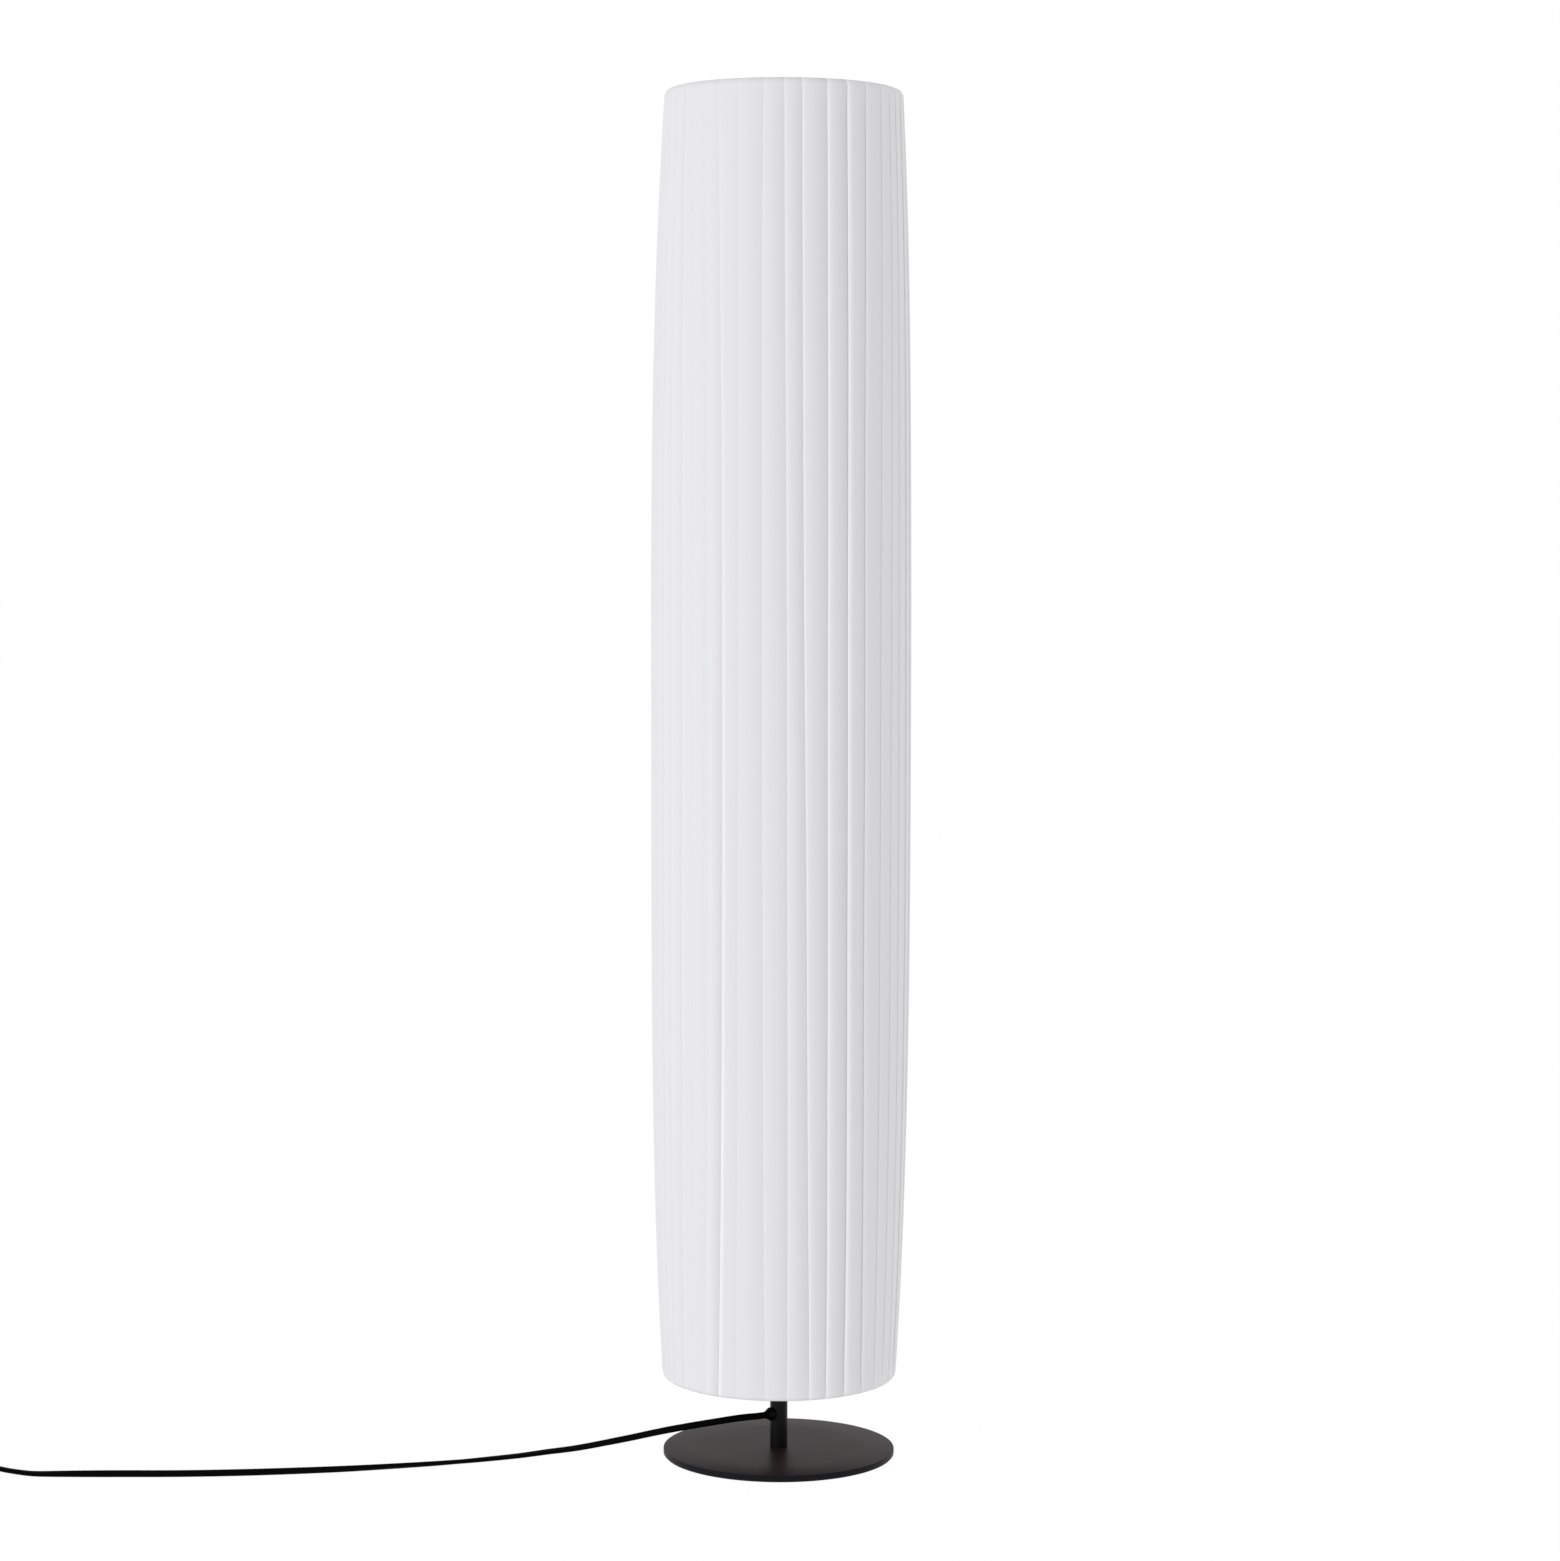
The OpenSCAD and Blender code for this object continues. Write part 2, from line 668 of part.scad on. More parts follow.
module shade_spider() {
    arm_z = hub_z + hub_t / 2;
    tip_r = ring_r - ring_wire_r - weld;
    color("white") difference() {
        union() {
            translate([0, 0, hub_z]) cylinder(r = hub_r, h = hub_t);
            for (i = [0 : arm_count - 1]) rotate([0, 0, arm_start + 360 / arm_count * i])
                straight_wire([hub_r - 3, arm_z], [tip_r, ring_high_z - 2 * seat], spider_wire_r);
        }
        translate([0, 0, hub_z - 1]) cylinder(r = stud_r + seat, h = hub_t + 2);
    }
}

module binding(low) {
    wrap = low ? shade_gap : total_h - binding_t;
    inner_z = low ? shade_gap : total_h - binding_h;
    difference() {
        union() {
            translate([0, 0, inner_z]) cylinder(r = binding_out_r, h = binding_h);
            translate([0, 0, wrap]) cylinder(r = ring_r + ring_wire_r, h = binding_t);
        }
        translate([0, 0, shade_gap - 1]) cylinder(r = binding_in_r, h = shade_h + 2);
    }
}

module shade_top_binding() {
    notch = spider_wire_d + 2 * seat;
    color("white") difference() {
        binding(false);
        for (i = [0 : arm_count - 1]) rotate([0, 0, arm_start + 360 / arm_count * i])
            translate([binding_in_r - 2, -notch / 2, total_h - binding_h - 1])
                cube([ring_wire_r + 2, notch, binding_h + 1 - binding_t - weld]);
    }
}

module shade_bottom_binding() {
    color("white") binding(true);
}

// Each pleat is a bowed strip that leans in under the next one
module pleat() {
    outer = [for (k = [0 : cloth_steps])
        let (z = shade_gap + shade_h * (1 - cos(180 * k / cloth_steps)) / 2) [shade_r(z), z]];
    inner = [for (k = [cloth_steps : -1 : 0]) outer[k] - [cloth_t, 0]];
    translate([end_d / 2, 0, 0]) rotate([0, 0, pleat_lean]) translate([-end_d / 2, 0, 0])
        rotate_extrude(angle = pleat_span) polygon(concat(outer, inner));
}

module shade_cloth() {
    color([0.93, 0.93, 0.93]) for (i = [0 : pleat_count - 1])
        rotate([0, 0, pleat_pitch * i]) pleat();
}

module spider_washer() {
    color("silver") translate([0, 0, washer_z]) difference() {
        cylinder(r = washer_r, h = washer_t);
        translate([0, 0, -1]) cylinder(r = stud_r + seat, h = washer_t + 2);
    }
}

module finial_nut() {
    color("silver") translate([0, 0, finial_z]) difference() {
        rotate_extrude() polygon([
            [0, 0], [finial_r - 0.8, 0], [finial_r, 0.8], [finial_r, finial_h - 3],
            [finial_r - 1.5, finial_h - 1], [finial_r - 4, finial_h], [0, finial_h]
        ]);
        translate([0, 0, -1]) cylinder(r = stud_r + seat, h = finial_h - finial_wall + 1);
        for (k = [0 : finial_flutes - 1]) rotate([0, 0, 360 / finial_flutes * k])
            translate([finial_r + 0.4, 0, 1.6]) cylinder(r = 1, h = finial_h - 5.5, $fn = 24);
    }
}

// Supply lead
module cord_bush() {
    color([0.05, 0.05, 0.05]) translate([0, 0, exit_z]) rotate([0, 90, exit_az]) difference() {
        rotate_extrude() polygon([
            [0, bush_in], [bush_body_r, bush_in], [bush_body_r, post_r + seat],
            [bush_d / 2 - 0.6, post_r + seat], [bush_d / 2, post_r + seat + 0.8],
            [bush_d / 2, post_r + bush_flange_t - 1], [bush_d / 2 - 1, post_r + bush_flange_t],
            [lead_w / 2 + 1.6, post_r + bush_flange_t], [lead_w / 2 + 0.8, bush_out], [0, bush_out]
        ]);
        rotate([0, 0, -run_points[0][3]]) translate([0, 0, bush_in - 1])
            flat_way(bush_out - bush_in + 2);
    }
}

// Way for the flat lead along Z, its flat side along Y
module flat_way(l) {
    way_w = lead_w + 2 * slip;
    way_t = lead_t + 2 * slip;
    for (side = [-1, 1]) translate([0, side * (way_w - way_t) / 2, 0]) cylinder(d = way_t, h = l);
    translate([-way_t / 2, -(way_w - way_t) / 2, 0]) cube([way_t, way_w - way_t, l]);
}

module cord_run() {
    roll = run_points[0][3];
    in_bush = [for (s = [bush_in + slip, bush_out]) [cos(exit_az) * s, sin(exit_az) * s, exit_z, roll]];
    end = [switch_x + switch_l / 2 - switch_grip, switch_y, switch_split, -180];
    color([0.05, 0.05, 0.05])
        oval_tube(smooth_line(concat(in_bush, run_points, [end]), run_parts), lead_w, lead_t, run_sides);
}

module cord_link() {
    from = [switch_x - switch_l / 2 + switch_grip, switch_y, switch_split, -180];
    to = [coil_x + lead_w, coil_y - coil_outer_r, coil_low_z, -270];
    ahead = [lead_w, 0, 0, 0];
    color([0.05, 0.05, 0.05])
        oval_tube(smooth_line(concat([from], link_points, [to + 2 * ahead, to + ahead, to]), run_parts),
            lead_w, lead_t, run_sides);
}

// The coil spirals in and out again, and climbs a layer in the half turn where it reverses
function coil_climb(t) = let (s = min(1, max(0, (t - coil_half) / 0.5 + 0.5))) s * s * (3 - 2 * s);
function coil_point(k) =
    let (
        t = k / coil_rings,
        a = coil_start_az - 360 * t,
        r = coil_inner_r + coil_pitch * abs(t - coil_half)
    )
    [coil_x + r * cos(a), coil_y + r * sin(a), coil_low_z + coil_layer_h * coil_climb(t), -270];
coil_way = concat(
    [coil_point(0) + [lead_w, 0, 0, 0]],
    [for (k = [0 : coil_last]) coil_point(k)],
    [coil_point(coil_last) + [0, lead_w, 0, 0]]
);
coil_skin = [for (i = [0 : len(coil_way) - 1])
    ring_at(coil_way, i, lead_w, lead_t, coil_sides, [0, 0, 1])];

// Least gap between rings that lie a whole number of turns apart, measured on their points
coil_gap = min([for (i = [1 : coil_last + 1 - coil_rings], turn = [1 : floor(coil_turns)])
    let (j = i + turn * coil_rings)
    if (j <= coil_last + 1)
        min([for (a = coil_skin[i], b = coil_skin[j]) norm(a - b)])]);
echo(coil_gap = coil_gap);

module cord_coil() {
    color([0.05, 0.05, 0.05]) skin(coil_skin);
}

module coil_tie() {
    in_r = coil_inner_r - lead_t / 2 - 1.2;
    out_r = coil_outer_r + lead_t / 2 + seat;
    top_z = coil_lift + lead_w + coil_layer_h + weld;
    color([0.1, 0.1, 0.1]) translate([coil_x, coil_y, 0]) rotate([0, 0, tie_az])
        translate([0, tie_w / 2, 0]) rotate([90, 0, 0]) linear_extrude(tie_w) difference() {
            translate([in_r - tie_t, 0]) square([out_r - in_r + 2 * tie_t, top_z + tie_t]);
            translate([in_r, tie_t]) square([out_r - in_r, top_z - tie_t]);
        }
}

module cord_tail() {
    from = coil_point(coil_last) + [0, lead_w, 0, 0];
    to = [tail_out, plug_y, plug_z, -270];
    ahead = [0, lead_w / 2, 0, 0];
    way = [for (p = tail_points) [tail_out, p[0], p[1], -270]];
    color([0.05, 0.05, 0.05])
        oval_tube(smooth_line(concat([from, from + ahead, from + 2 * ahead], way,
            [to - 2 * ahead, to - ahead, to]), run_parts), lead_w, lead_t, run_sides);
}

// Foot switch
function arc(x, r, from, to) =
    [for (k = [0 : switch_arc_steps])
        let (a = from + (to - from) * k / switch_arc_steps) [x + r * cos(a), r * sin(a)]];

module switch_outline(inset = 0) {
    end_x = switch_l / 2 - switch_end_r;
    lean = acos((switch_w / 2 - switch_end_r) / (end_x - switch_waist));
    small = switch_end_r - inset;
    large = switch_w / 2 - inset;
    polygon(concat(
        arc(switch_waist, large, -90, -lean), arc(end_x, small, -lean, lean),
        arc(switch_waist, large, lean, 90), arc(-switch_waist, large, 90, 180 - lean),
        arc(-end_x, small, 180 - lean, 180 + lean), arc(-switch_waist, large, 180 + lean, 270)
    ));
}

module at_switch() {
    translate([switch_x, switch_y, 0]) children();
}

// Ways for the lead, and posts for the two screws
module switch_ways() {
    translate([-switch_l, 0, switch_split]) rotate([0, 90, 0]) flat_way(2 * switch_l);
}

module at_switch_screws() {
    for (side = [-1, 1]) translate([side * switch_screw_x, side * switch_screw_y, 0]) children();
}

module switch_lower_shell() {
    color([0.07, 0.07, 0.07]) at_switch() difference() {
        linear_extrude(switch_split) switch_outline();
        difference() {
            translate([0, 0, switch_wall]) linear_extrude(switch_split) switch_outline(switch_wall);
            at_switch_screws() cylinder(r = switch_boss_r, h = switch_split);
        }
        at_switch_screws() translate([0, 0, -1]) cylinder(r = switch_screw_r + slip, h = switch_split + 2);
        at_switch_screws() translate([0, 0, -1]) cylinder(r = 2 * switch_screw_r + slip, h = switch_wall);
        switch_ways();
    }
}

module switch_upper_shell() {
    color([0.07, 0.07, 0.07]) at_switch() difference() {
        union() {
            translate([0, 0, switch_split])
                linear_extrude(switch_h - switch_step - switch_split) switch_outline();
            translate([0, 0, switch_ceiling]) linear_extrude(switch_lid_t) switch_outline(switch_step);
        }
        difference() {
            translate([0, 0, switch_split - 1]) linear_extrude(switch_ceiling - switch_split + 1)
                switch_outline(switch_wall);
            at_switch_screws() cylinder(r = switch_boss_r, h = switch_h);
        }
        at_switch_screws() cylinder(r = switch_screw_r + slip, h = switch_ceiling - 1);
        translate([0, 0, switch_split]) cylinder(d = button_d + 2 * seat, h = switch_h);
        switch_ways();
    }
}

module switch_button() {
    flange_r = button_d / 2 + 1;
    color([0.12, 0.12, 0.12]) at_switch() rotate_extrude() polygon([
        [0, switch_ceiling - 2], [flange_r, switch_ceiling - 2], [flange_r, switch_ceiling - seat],
        [button_d / 2, switch_ceiling - seat], [button_d / 2, switch_h + button_travel],
        [button_d / 2 - 1.5, switch_h + button_travel + 1], [0, switch_h + button_travel + 1.4]
    ]);
}

module switch_block() {
    block_w = 14;
    block_top = switch_ceiling - 2 - button_travel - seat;
    color([0.9, 0.9, 0.88]) at_switch() translate([-block_w / 2, -block_w / 2, switch_wall])
        cube([block_w, block_w, block_top - switch_wall]);
}

module switch_screws() {
    color("silver") at_switch() at_switch_screws() translate([0, 0, weld]) {
        cylinder(r = 2 * switch_screw_r, h = switch_wall - 1 - weld);
        cylinder(r = switch_screw_r, h = switch_ceiling - 2);
    }
}

// Plug
module at_plug() {
    translate([tail_out, plug_y, plug_z]) children();
}

module plug_body() {
    color([0.05, 0.05, 0.05]) at_plug() {
        rotate([-90, 0, 0]) rotate_extrude() polygon([
            [0, 0], [plug_neck_r - 1, 0], [plug_neck_r, neck_l], [0, neck_l]
        ]);
        hull() {
            translate([-plug_back_w / 2, neck_l, 2 - plug_t / 2]) cube([plug_back_w, 1, plug_t - 4]);
            translate([-plug_front_w / 2, neck_l + body_l - 14, 2 - plug_t / 2])
                cube([plug_front_w, 14, plug_t - 4]);
            translate([3 - plug_front_w / 2, neck_l + body_l - 12, -plug_t / 2])
                cube([plug_front_w - 6, 12, plug_t]);
        }
    }
}

module plug_pins() {
    color("silver") at_plug() for (side = [-1, 1])
        translate([side * pin_spacing / 2, neck_l + body_l, 0]) rotate([-90, 0, 0])
            rotate_extrude() polygon([
                [0, 0], [pin_d / 2, 0], [pin_d / 2, pin_l - 1], [pin_d / 2 - 1, pin_l], [0, pin_l]
            ]);
}

base_pad();
base_plate();
base_screw();
foot_plug();
lower_post();
pole_joint();
upper_pole();
pole_stud();
centring_cross();
grub_screws();
holder_arm(0);  // lower_arm
holder_arm(1);  // upper_arm
holder_cap(0);  // lower_holder_cap
holder_barrel(0);  // lower_holder_barrel
holder_thread(0);  // lower_holder_thread
holder_contact(0);  // lower_holder_contact
holder_cap(1);  // upper_holder_cap
holder_barrel(1);  // upper_holder_barrel
holder_thread(1);  // upper_holder_thread
holder_contact(1);  // upper_holder_contact
bulb_cap(0);  // lower_bulb_cap
bulb_contact(0);  // lower_bulb_contact
bulb_housing(0);  // lower_bulb_housing
bulb_globe(0);  // lower_bulb_globe
bulb_cap(1);  // upper_bulb_cap
bulb_contact(1);  // upper_bulb_contact
bulb_housing(1);  // upper_bulb_housing
bulb_globe(1);  // upper_bulb_globe
lower_lead();
upper_lead();
shade_top_ring();
shade_spider();
shade_bottom_ring();
shade_hoops();
shade_ribs();
shade_top_binding();
shade_bottom_binding();
shade_cloth();
spider_washer();
finial_nut();
cord_bush();
cord_run();
switch_lower_shell();
switch_upper_shell();
switch_button();
switch_block();
switch_screws();
cord_link();
cord_coil();
coil_tie();
cord_tail();
plug_body();
plug_pins();
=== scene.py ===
"""Looks of a floor lamp: a tall column of white pleated cloth on a thin round black base.

Sizes are in millimetres and become metres when a piece is delivered. +Z is up and the front faces -Y.
"""

import logging
import math
import random
from dataclasses import dataclass, field
from enum import Enum
from typing import Sequence

import bmesh
import bpy
from mathutils import Matrix, Vector


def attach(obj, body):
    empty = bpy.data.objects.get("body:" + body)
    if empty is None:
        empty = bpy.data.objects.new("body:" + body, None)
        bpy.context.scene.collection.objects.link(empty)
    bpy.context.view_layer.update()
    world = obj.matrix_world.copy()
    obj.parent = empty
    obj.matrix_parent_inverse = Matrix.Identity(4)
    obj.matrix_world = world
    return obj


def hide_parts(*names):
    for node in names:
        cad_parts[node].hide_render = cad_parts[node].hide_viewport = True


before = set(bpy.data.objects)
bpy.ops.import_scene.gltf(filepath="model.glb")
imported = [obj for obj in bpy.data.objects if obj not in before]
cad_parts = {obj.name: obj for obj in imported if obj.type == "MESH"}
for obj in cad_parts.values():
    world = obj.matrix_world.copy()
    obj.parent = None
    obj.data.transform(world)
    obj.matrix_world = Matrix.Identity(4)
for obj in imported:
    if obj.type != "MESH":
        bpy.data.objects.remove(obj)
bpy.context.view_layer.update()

LOG = logging.getLogger("floor_lamp")
MM = 0.001
FULL_TURN = 2 * math.pi
WIRE_SIDES = 16
# How wide and thick a hole the lead goes through
LEAD_WAY = (6.2, 4.1)

Colour = tuple[float, float, float, float]
Profile = Sequence[tuple[float, float]]
Node = bpy.types.Node
Piece = bpy.types.Object
Shape = bmesh.types.BMesh
Socket = bpy.types.NodeSocket
Tree = bpy.types.NodeTree


class Body(Enum):
    """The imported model's bodies, which a piece rides on."""

    STAND = "stand"
    SHADE = "shade"
    FINIAL = "finial"
    LOWER_BULB = "lower_bulb"
    UPPER_BULB = "upper_bulb"
    FOOT_BUTTON = "foot_button"


# Materials


def linear(hex_colour: str) -> Colour:
    """Turns an sRGB hex colour into the linear values that shaders take.

    Args:
        hex_colour: six hex digits after a hash.

    Returns:
        Linear red, green and blue, and an alpha of 1.
    """
    parts = [int(hex_colour[i : i + 2], 16) / 255 for i in (1, 3, 5)]
    return (*(c / 12.92 if c <= 0.04045 else ((c + 0.055) / 1.055) ** 2.4 for c in parts), 1.0)


def add(tree: Tree, kind: str, feeds: dict | None = None, **settings) -> Node:
    """Adds one node to a material or world.

    Args:
        tree: the node tree.
        kind: the node's type name.
        feeds: for each input, by name or number, a value or the output that feeds it.
        **settings: the node's own properties.

    Returns:
        The new node.
    """
    node = tree.nodes.new(kind)
    for name, value in settings.items():
        setattr(node, name, value)
    for name, value in (feeds or {}).items():
        if isinstance(value, Socket):
            tree.links.new(value, node.inputs[name])
        else:
            node.inputs[name].default_value = value
    return node


def mixed(tree: Tree, share: Socket, first: Colour | Socket, second: Colour | Socket) -> Socket:
    """Returns a colour between two, which are linear values or outputs."""
    return add(tree, "ShaderNodeMix", {0: share, 6: first, 7: second}, data_type="RGBA").outputs[2]


def noise(tree: Tree, where: Socket, scale: float, detail: float) -> Socket:
    """Returns a noise pattern's value, with its scale per metre."""
    return add(tree, "ShaderNodeTexNoise", {"Vector": where, "Scale": scale, "Detail": detail}).outputs["Fac"]


def calculated(tree: Tree, operation: str, first: Socket, second: Socket) -> Socket:
    """Returns two values put together by one operation."""
    return add(tree, "ShaderNodeMath", {0: first, 1: second}, operation=operation).outputs[0]


@dataclass(frozen=True)
class Finish:
    """A surface: two close colours, a range of roughness and a fine relief.

    A subclass says which patterns drive them.
    """

    name: str
    colour: str
    second: str
    roughness: tuple[float, float]
    relief_mm: float
    specular: float = 0.5

    def material(self) -> bpy.types.Material:
        """Returns this finish's material, made once."""
        made = bpy.data.materials.get(self.name)
        if made is None:
            made = bpy.data.materials.new(self.name)
            made.use_nodes = True
            shader = made.node_tree.nodes["Principled BSDF"]
            shader.inputs["Specular IOR Level"].default_value = self.specular
            self.dress(made.node_tree, shader, *self.patterns(made.node_tree))
            self.settle(shader)
        return made

    def patterns(self, tree: Tree) -> tuple[Socket, Socket]:
        """Returns the outputs that mix the colours and that give the relief."""
        raise NotImplementedError

    def settle(self, shader: Node) -> None:
        """Sets what is the same all over the surface."""

    def dress(self, tree: Tree, shader: Node, patches: Socket, relief: Socket) -> None:
        """Links colour, roughness and bump to the shader.

        Args:
            tree: the material's node tree.
            shader: its Principled shader.
            patches: the output that mixes the two colours and the two roughnesses.
            relief: the output that gives the height, from 0 to 1.
        """
        smooth, rough = self.roughness
        tint = mixed(tree, patches, linear(self.colour), linear(self.second))
        polish = add(tree, "ShaderNodeMapRange", {"Value": patches, "To Min": smooth, "To Max": rough})
        heights = {"Height": relief, "Distance": self.relief_mm * MM, "Strength": 1.0}
        bump = add(tree, "ShaderNodeBump", heights)
        tree.links.new(tint, shader.inputs["Base Color"])
        tree.links.new(polish.outputs["Result"], shader.inputs["Roughness"])
        tree.links.new(bump.outputs["Normal"], shader.inputs["Normal"])


@dataclass(frozen=True)
class Grained(Finish):
    """A moulded, coated or cast surface: broad faint patches and a fine even grain."""

    grain_mm: float = 0.6
    patch_mm: float = 40.0
    bloom: float = 0.0
    bloom_tint: str = "#FFFFFF"

    def patterns(self, tree: Tree) -> tuple[Socket, Socket]:
        """Returns the patches and the grain, both in the piece's own place."""
        where = add(tree, "ShaderNodeTexCoord").outputs["Object"]
        patches = noise(tree, where, 1 / (self.patch_mm * MM), 4.0)
        return patches, noise(tree, where, 1 / (self.grain_mm * MM), 2.0)

    def settle(self, shader: Node) -> None:
        """Sets the dry bloom that shows at a low angle."""
        shader.inputs["Sheen Weight"].default_value = self.bloom
        shader.inputs["Sheen Tint"].default_value = linear(self.bloom_tint)


@dataclass(frozen=True)
class Opal(Grained):
    """Milky polycarbonate that spreads light inside its wall."""

    milk: float = 0.35
    spread_m: tuple[float, float, float] = (0.004, 0.004, 0.0035)
    ior: float = 1.58

    def settle(self, shader: Node) -> None:
        """Sets the milky depth."""
        shader.inputs["Subsurface Weight"].default_value = self.milk
        shader.inputs["Subsurface Radius"].default_value = self.spread_m
        shader.inputs["IOR"].default_value = self.ior


@dataclass(frozen=True)
class Turned(Finish):
    """Turned or drawn metal: fine lines round or along the piece, and dull patches from handling."""

    line_mm: float = 0.35
    stretch: tuple[float, float, float] = (0.04, 0.04, 1.0)
    patches_a_metre: float = 90.0

    def patterns(self, tree: Tree) -> tuple[Socket, Socket]:
        """Returns the dull patches, and lines drawn out by stretch."""
        where = add(tree, "ShaderNodeTexCoord").outputs["Object"]
        drawn = add(tree, "ShaderNodeMapping", {"Vector": where, "Scale": self.stretch}).outputs[0]
        return noise(tree, where, self.patches_a_metre, 5.0), noise(tree, drawn, 1 / (self.line_mm * MM), 3.0)

    def settle(self, shader: Node) -> None:
        """Makes it metal, at the default IOR."""
        shader.inputs["Metallic"].default_value = 1.0


@dataclass(frozen=True)
class Woven(Finish):
    """Cloth on the piece's own UV map, which is in metres along warp and weft."""

    thread_mm: float = 0.9
    slub_mm: tuple[float, float] = (3.0, 60.0)
    sheen: float = 0.2

    def patterns(self, tree: Tree) -> tuple[Socket, Socket]:
        """Returns slubs drawn out along the warp, and the crossing of warp and weft."""
        where = add(tree, "ShaderNodeTexCoord").outputs["UV"]
        across, along = (1 / (size * MM) for size in self.slub_mm)
        drawn = add(tree, "ShaderNodeMapping", {"Vector": where, "Scale": (across, along, 1.0)}).outputs[0]
        slubs = noise(tree, drawn, 1.0, 3.0)
        # At scale 1 a wave texture's bands lie a tenth of pi apart
        scale = math.pi / (10 * self.thread_mm * MM)
        threads = {"Vector": where, "Scale": scale, "Distortion": 0.6, "Detail": 1.0}
        warp, weft = (
            add(tree, "ShaderNodeTexWave", threads, bands_direction=axis).outputs["Fac"]
            for axis in ("X", "Y")
        )
        weave = calculated(tree, "MULTIPLY", warp, weft)
        return slubs, calculated(tree, "ADD", slubs, weave)

    def settle(self, shader: Node) -> None:
        """Sets the soft sheen of fibre ends."""
        shader.inputs["Sheen Weight"].default_value = self.sheen
        shader.inputs["Sheen Roughness"].default_value = 0.5


@dataclass(frozen=True)
class Pleated(Woven):
    """White cloth, its colour mixed with painted light and shade: lighter on each folded edge, where tucks
    lie behind it, and darker along each face towards the next edge, where shade falls.
    """

    # Painted shade: the colour the cloth turns towards where its share of painted light is low
    painted_shade_colour: str = "#DADADC"
    # The cloth's vertex layer that holds each point's share of painted light
    layers: str = "layers"

    def dress(self, tree: Tree, shader: Node, patches: Socket, relief: Socket) -> None:
        """Links the weave, and mixes its colour with painted shade by each point's share of painted light."""
        super().dress(tree, shader, patches, relief)
        # Painted light and shade: the share on the cloth mixes painted shade with the woven colour
        painted_light = add(tree, "ShaderNodeAttribute", attribute_name=self.layers).outputs["Fac"]
        base = shader.inputs["Base Color"]
        tree.links.new(mixed(tree, painted_light, linear(self.painted_shade_colour), base.links[0].from_socket), base)


@dataclass(frozen=True)
class Cellular(Finish):
    """Closed-cell foam: round pores side by side."""

    cell_mm: float = 0.8

    def patterns(self, tree: Tree) -> tuple[Socket, Socket]:
        """Returns the pores' shade and their depth."""
        where = add(tree, "ShaderNodeTexCoord").outputs["Object"]
        cells = add(tree, "ShaderNodeTexVoronoi", {"Vector": where, "Scale": 1 / (self.cell_mm * MM)})
        return cells.outputs["Distance"], cells.outputs["Distance"]


# Powder coat on steel plate: a dry satin black with an even orange peel, which turns warm grey at a low angle
PLATE_COAT = Grained(
    "powder_coat_on_steel", "#131417", "#17181B", (0.4, 0.46), 0.02, 0.057,
    grain_mm=0.9, bloom=0.033, bloom_tint="#F09282",
)
# Black lacquer on steel tube: smoother than the plate, so it holds a long soft highlight
TUBE_LACQUER = Grained(
    "black_lacquer_on_steel_tube", "#070708", "#09090A", (0.34, 0.42), 0.006, 0.16, grain_mm=1.4
)
# Moulded flexible PVC: deep black with a soft satin shine
CORD_PVC = Grained(
    "flexible_pvc_sheath", "#020202", "#040404", (0.5, 0.6), 0.008, 0.03, grain_mm=0.7, patch_mm=25
)
# Moulded PVC of the bush and plug: a little drier than the lead
PLUG_PVC = Grained(
    "moulded_pvc_black", "#030303", "#060606", (0.48, 0.58), 0.01, 0.08, grain_mm=0.8, patch_mm=20
)
# Spark-eroded ABS of the foot switch: an even fine texture that breaks up the shine
SWITCH_ABS = Grained(
    "spark_eroded_abs_black", "#09090A", "#0D0D0E", (0.46, 0.56), 0.03, 0.22, grain_mm=0.6, patch_mm=30
)
# Polished ABS of the button: smoother, so that it stands out from the shell
BUTTON_ABS = Grained(
    "polished_abs_black", "#0B0B0C", "#101011", (0.24, 0.32), 0.006, 0.3, grain_mm=1.0, patch_mm=14
)
# Polyamide terminal block inside the switch: waxy off-white
BLOCK_PA = Grained(
    "polyamide_natural", "#DAD6CB", "#E2DED4", (0.45, 0.55), 0.01, 0.5, grain_mm=0.8, patch_mm=9
)
# Thermoplastic polyester of the lampholders: clean white with a soft gloss
HOLDER_PBT = Grained(
    "moulded_pbt_white", "#E4E3DE", "#EAE9E5", (0.32, 0.42), 0.008, 0.5, grain_mm=0.9, patch_mm=18
)
# Powder coat on wire: white, slightly uneven over the welds
WIRE_COAT = Grained(
    "white_powder_coat_on_wire", "#E2E2E1", "#EAEAE9", (0.4, 0.52), 0.03, 0.5, grain_mm=1.2, patch_mm=15
)
# Moulded polycarbonate of the LED bulb's housing: white with a plain gloss
HOUSING_PC = Grained(
    "moulded_polycarbonate_white", "#E8E8E6", "#EDEDEB", (0.28, 0.36), 0.005, 0.5, grain_mm=1.0
)
# Opal polycarbonate of the LED bulb's globe: milky and even
GLOBE_PC = Opal(
    "opal_polycarbonate", "#EFEFEC", "#F3F3F0", (0.22, 0.3), 0.004, 0.5, grain_mm=1.5, patch_mm=20
)
# Black glass and resin round the bulb's contact: glossy
CONTACT_GLASS = Grained(
    "vitrite_black", "#0B0B0D", "#141418", (0.12, 0.3), 0.01, 0.5, grain_mm=1.0, patch_mm=3
)
# PVC insulation of the two inner leads: satin black
LEAD_PVC = Grained(
    "pvc_insulation_black", "#0C0C0C", "#121212", (0.4, 0.5), 0.008, 0.5, grain_mm=0.6, patch_mm=12
)
# Zinc plating: bluish grey with dull patches
ZINC = Turned("zinc_plated_steel", "#A9ACAE", "#8E9296", (0.28, 0.42), 0.012)
